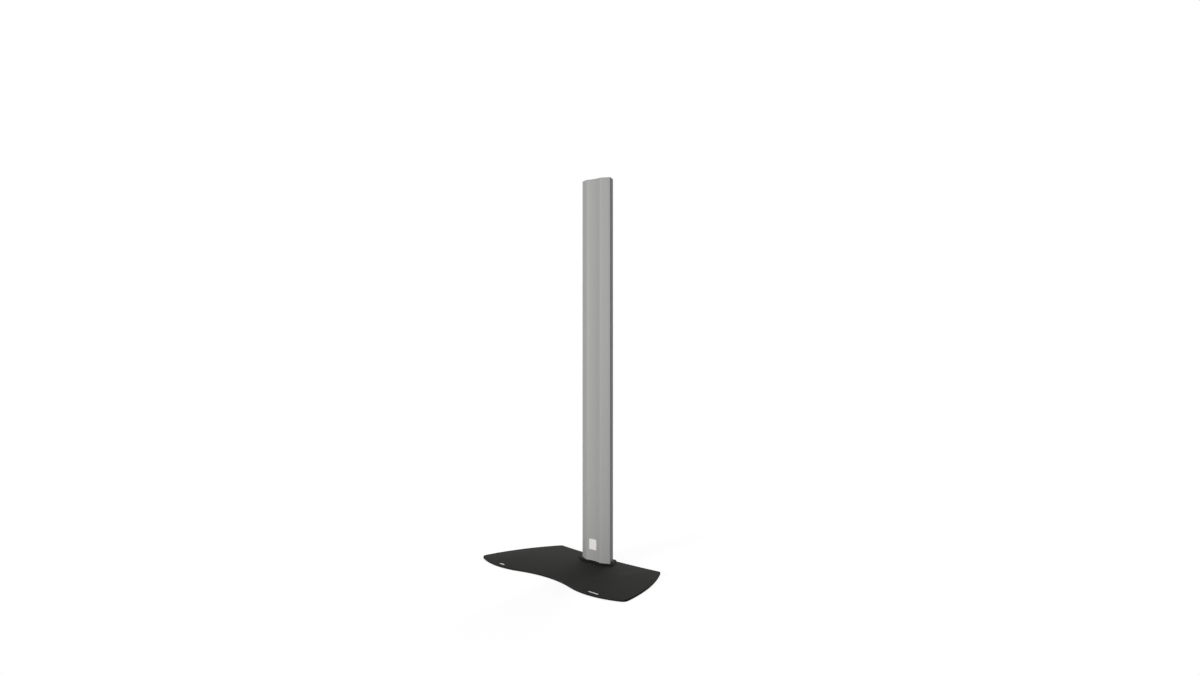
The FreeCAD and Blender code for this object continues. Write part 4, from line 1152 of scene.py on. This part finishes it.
def set_lock_screw(node, level):
    low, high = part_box(node)
    start = helper_mesh("lock_start", [(0.0, 0.0, 0.0)])
    mesh = run_tree(LOCK_SCREW, start, {
        "Shank Length": high.y - low.y - LOCK_HEAD_HEIGHT, "Finish": LOCK_FINISH})
    forget(start)
    lay_down = Matrix.Rotation(-math.pi / 2, 4, "X")
    mesh.transform(Matrix.Translation((LOCK_X, low.y, level)) @ lay_down)
    head_start = high.y - LOCK_HEAD_HEIGHT - 0.0001

    def on_head_rim(edge):
        """Whether the edge lies flat in a face of the head, and not round the key's hexagon."""
        first, last = (v.co for v in edge.verts)
        return (min(first.y, last.y) > head_start and abs(first.y - last.y) < 1e-6
                and math.dist((first.x, first.z), (LOCK_X, level)) > KEY_ZONE)

    with editing(mesh) as bm:
        bmesh.ops.remove_doubles(bm, verts=bm.verts, dist=1e-7)
        count = break_edges(bm, LOCK_EDGE, 50.0, on_head_rim)
    smooth(mesh, TURNED_SMOOTH_BELOW)
    stand_in(f"{node}_fluted", mesh, LOCK_FINISH, node, node)
    print(f"    {count} edges broken")


for name, level in lock_levels.items():
    set_lock_screw(f"{name}_lock_screw", level)

# %% [markdown]
# ## Floor and backdrop
# The photograph has a pure white ground. The floor here is white paint that also glows a little for
# the camera and for reflections, so it comes out white and still keeps the stand's soft shadow. It
# fades to plain white between 0.55 and 1.3 m from the middle, and the world behind it is white too.
# The light that the floor throws back onto the stand comes from a duller grey, because a white one
# would fill in the dark sides.

# %% Floor and backdrop
def seen_directly(tree):
    """1 for rays from the camera and for those that glossy or clear surfaces send on."""
    path = add(tree, "ShaderNodeLightPath").outputs
    seen = math_node(tree, "MAXIMUM", path["Is Camera Ray"], path["Is Glossy Ray"])
    return math_node(tree, "MAXIMUM", seen, path["Is Transmission Ray"])


floor_material = bpy.data.materials.new("studio_floor")
tree = empty_tree(floor_material)
place = add(tree, "ShaderNodeTexCoord").outputs["Object"]
distance = add(tree, "ShaderNodeVectorMath", {0: place}, operation="LENGTH").outputs["Value"]
far = output(tree, "ShaderNodeMapRange", {"Value": distance, "From Min": 0.55, "From Max": 1.3},
             interpolation_type="SMOOTHSTEP")
paint = output(tree, "ShaderNodeBsdfDiffuse", {"Color": (0.8, 0.8, 0.8, 1.0)})
glow = output(tree, "ShaderNodeEmission", {"Strength": 1.0})
near_mix = output(tree, "ShaderNodeMixShader", {0: 0.55, 1: paint, 2: glow})
white = output(tree, "ShaderNodeEmission", {"Strength": 0.27})
near = output(tree, "ShaderNodeAddShader", {0: near_mix, 1: white})
seen = output(tree, "ShaderNodeMixShader", {0: far, 1: near, 2: glow})
dull = output(tree, "ShaderNodeBsdfDiffuse", {"Color": (0.45, 0.45, 0.45, 1.0)})
whole = output(tree, "ShaderNodeMixShader", {0: seen_directly(tree), 1: dull, 2: seen})
add(tree, "ShaderNodeOutputMaterial", {"Surface": whole})

floor_mesh = bpy.data.meshes.new("studio_floor")
with editing(floor_mesh) as bm:
    bmesh.ops.create_circle(bm, cap_ends=True, segments=96, radius=6.0)
floor = link("studio_floor", floor_mesh, floor_material)
floor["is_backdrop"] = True

world = bpy.data.worlds.new("studio_world")
bpy.context.scene.world = world
tree = empty_tree(world)
soft = output(tree, "ShaderNodeBackground", {"Color": (0.97, 0.98, 1.0, 1.0), "Strength": 0.05})
bright = output(tree, "ShaderNodeBackground", {"Color": (1.0, 1.0, 1.0, 1.0), "Strength": 1.0})
mixed = output(tree, "ShaderNodeMixShader", {0: seen_directly(tree), 1: soft, 2: bright})
add(tree, "ShaderNodeOutputWorld", {"Surface": mixed})
print("floor and world ready")

# %% [markdown]
# ## Lights
# In the photograph the front is evenly lit, the side is much darker and nothing has a hard shadow.
# So a strong soft light stands in front of the stand, a weak one hangs over it, and the world fills
# in the rest. The third, high up behind on the left, is for the views of the back: from there it
# reaches the rear wall and misses the right side, which the photograph shows dark.

# %% Lights
def soft_light(name, place, target, size, power):
    data = bpy.data.lights.new(name, "AREA")
    data.shape = "SQUARE"
    data.size = size
    data.energy = power
    lamp = new_object(name, data)
    lamp.location = place
    lamp.rotation_euler = (Vector(target) - Vector(place)).to_track_quat("-Z", "Y").to_euler()
    print(f"{name}: {power} W, {size} m")


soft_light("front_light", (-0.3, -6.5, 0.95), (0.0, 0.0, 0.55), 2.2, 335.0)
soft_light("back_light", (-1.2, 3.4, 5.5), (0.0, 0.0, 0.6), 2.0, 115.0)
soft_light("top_light", (0.0, -0.3, 4.5), (0.0, 0.0, 0.0), 2.4, 38.0)

bpy.context.scene.view_settings.view_transform = "Standard"

bpy.context.view_layer.update()
low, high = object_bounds()
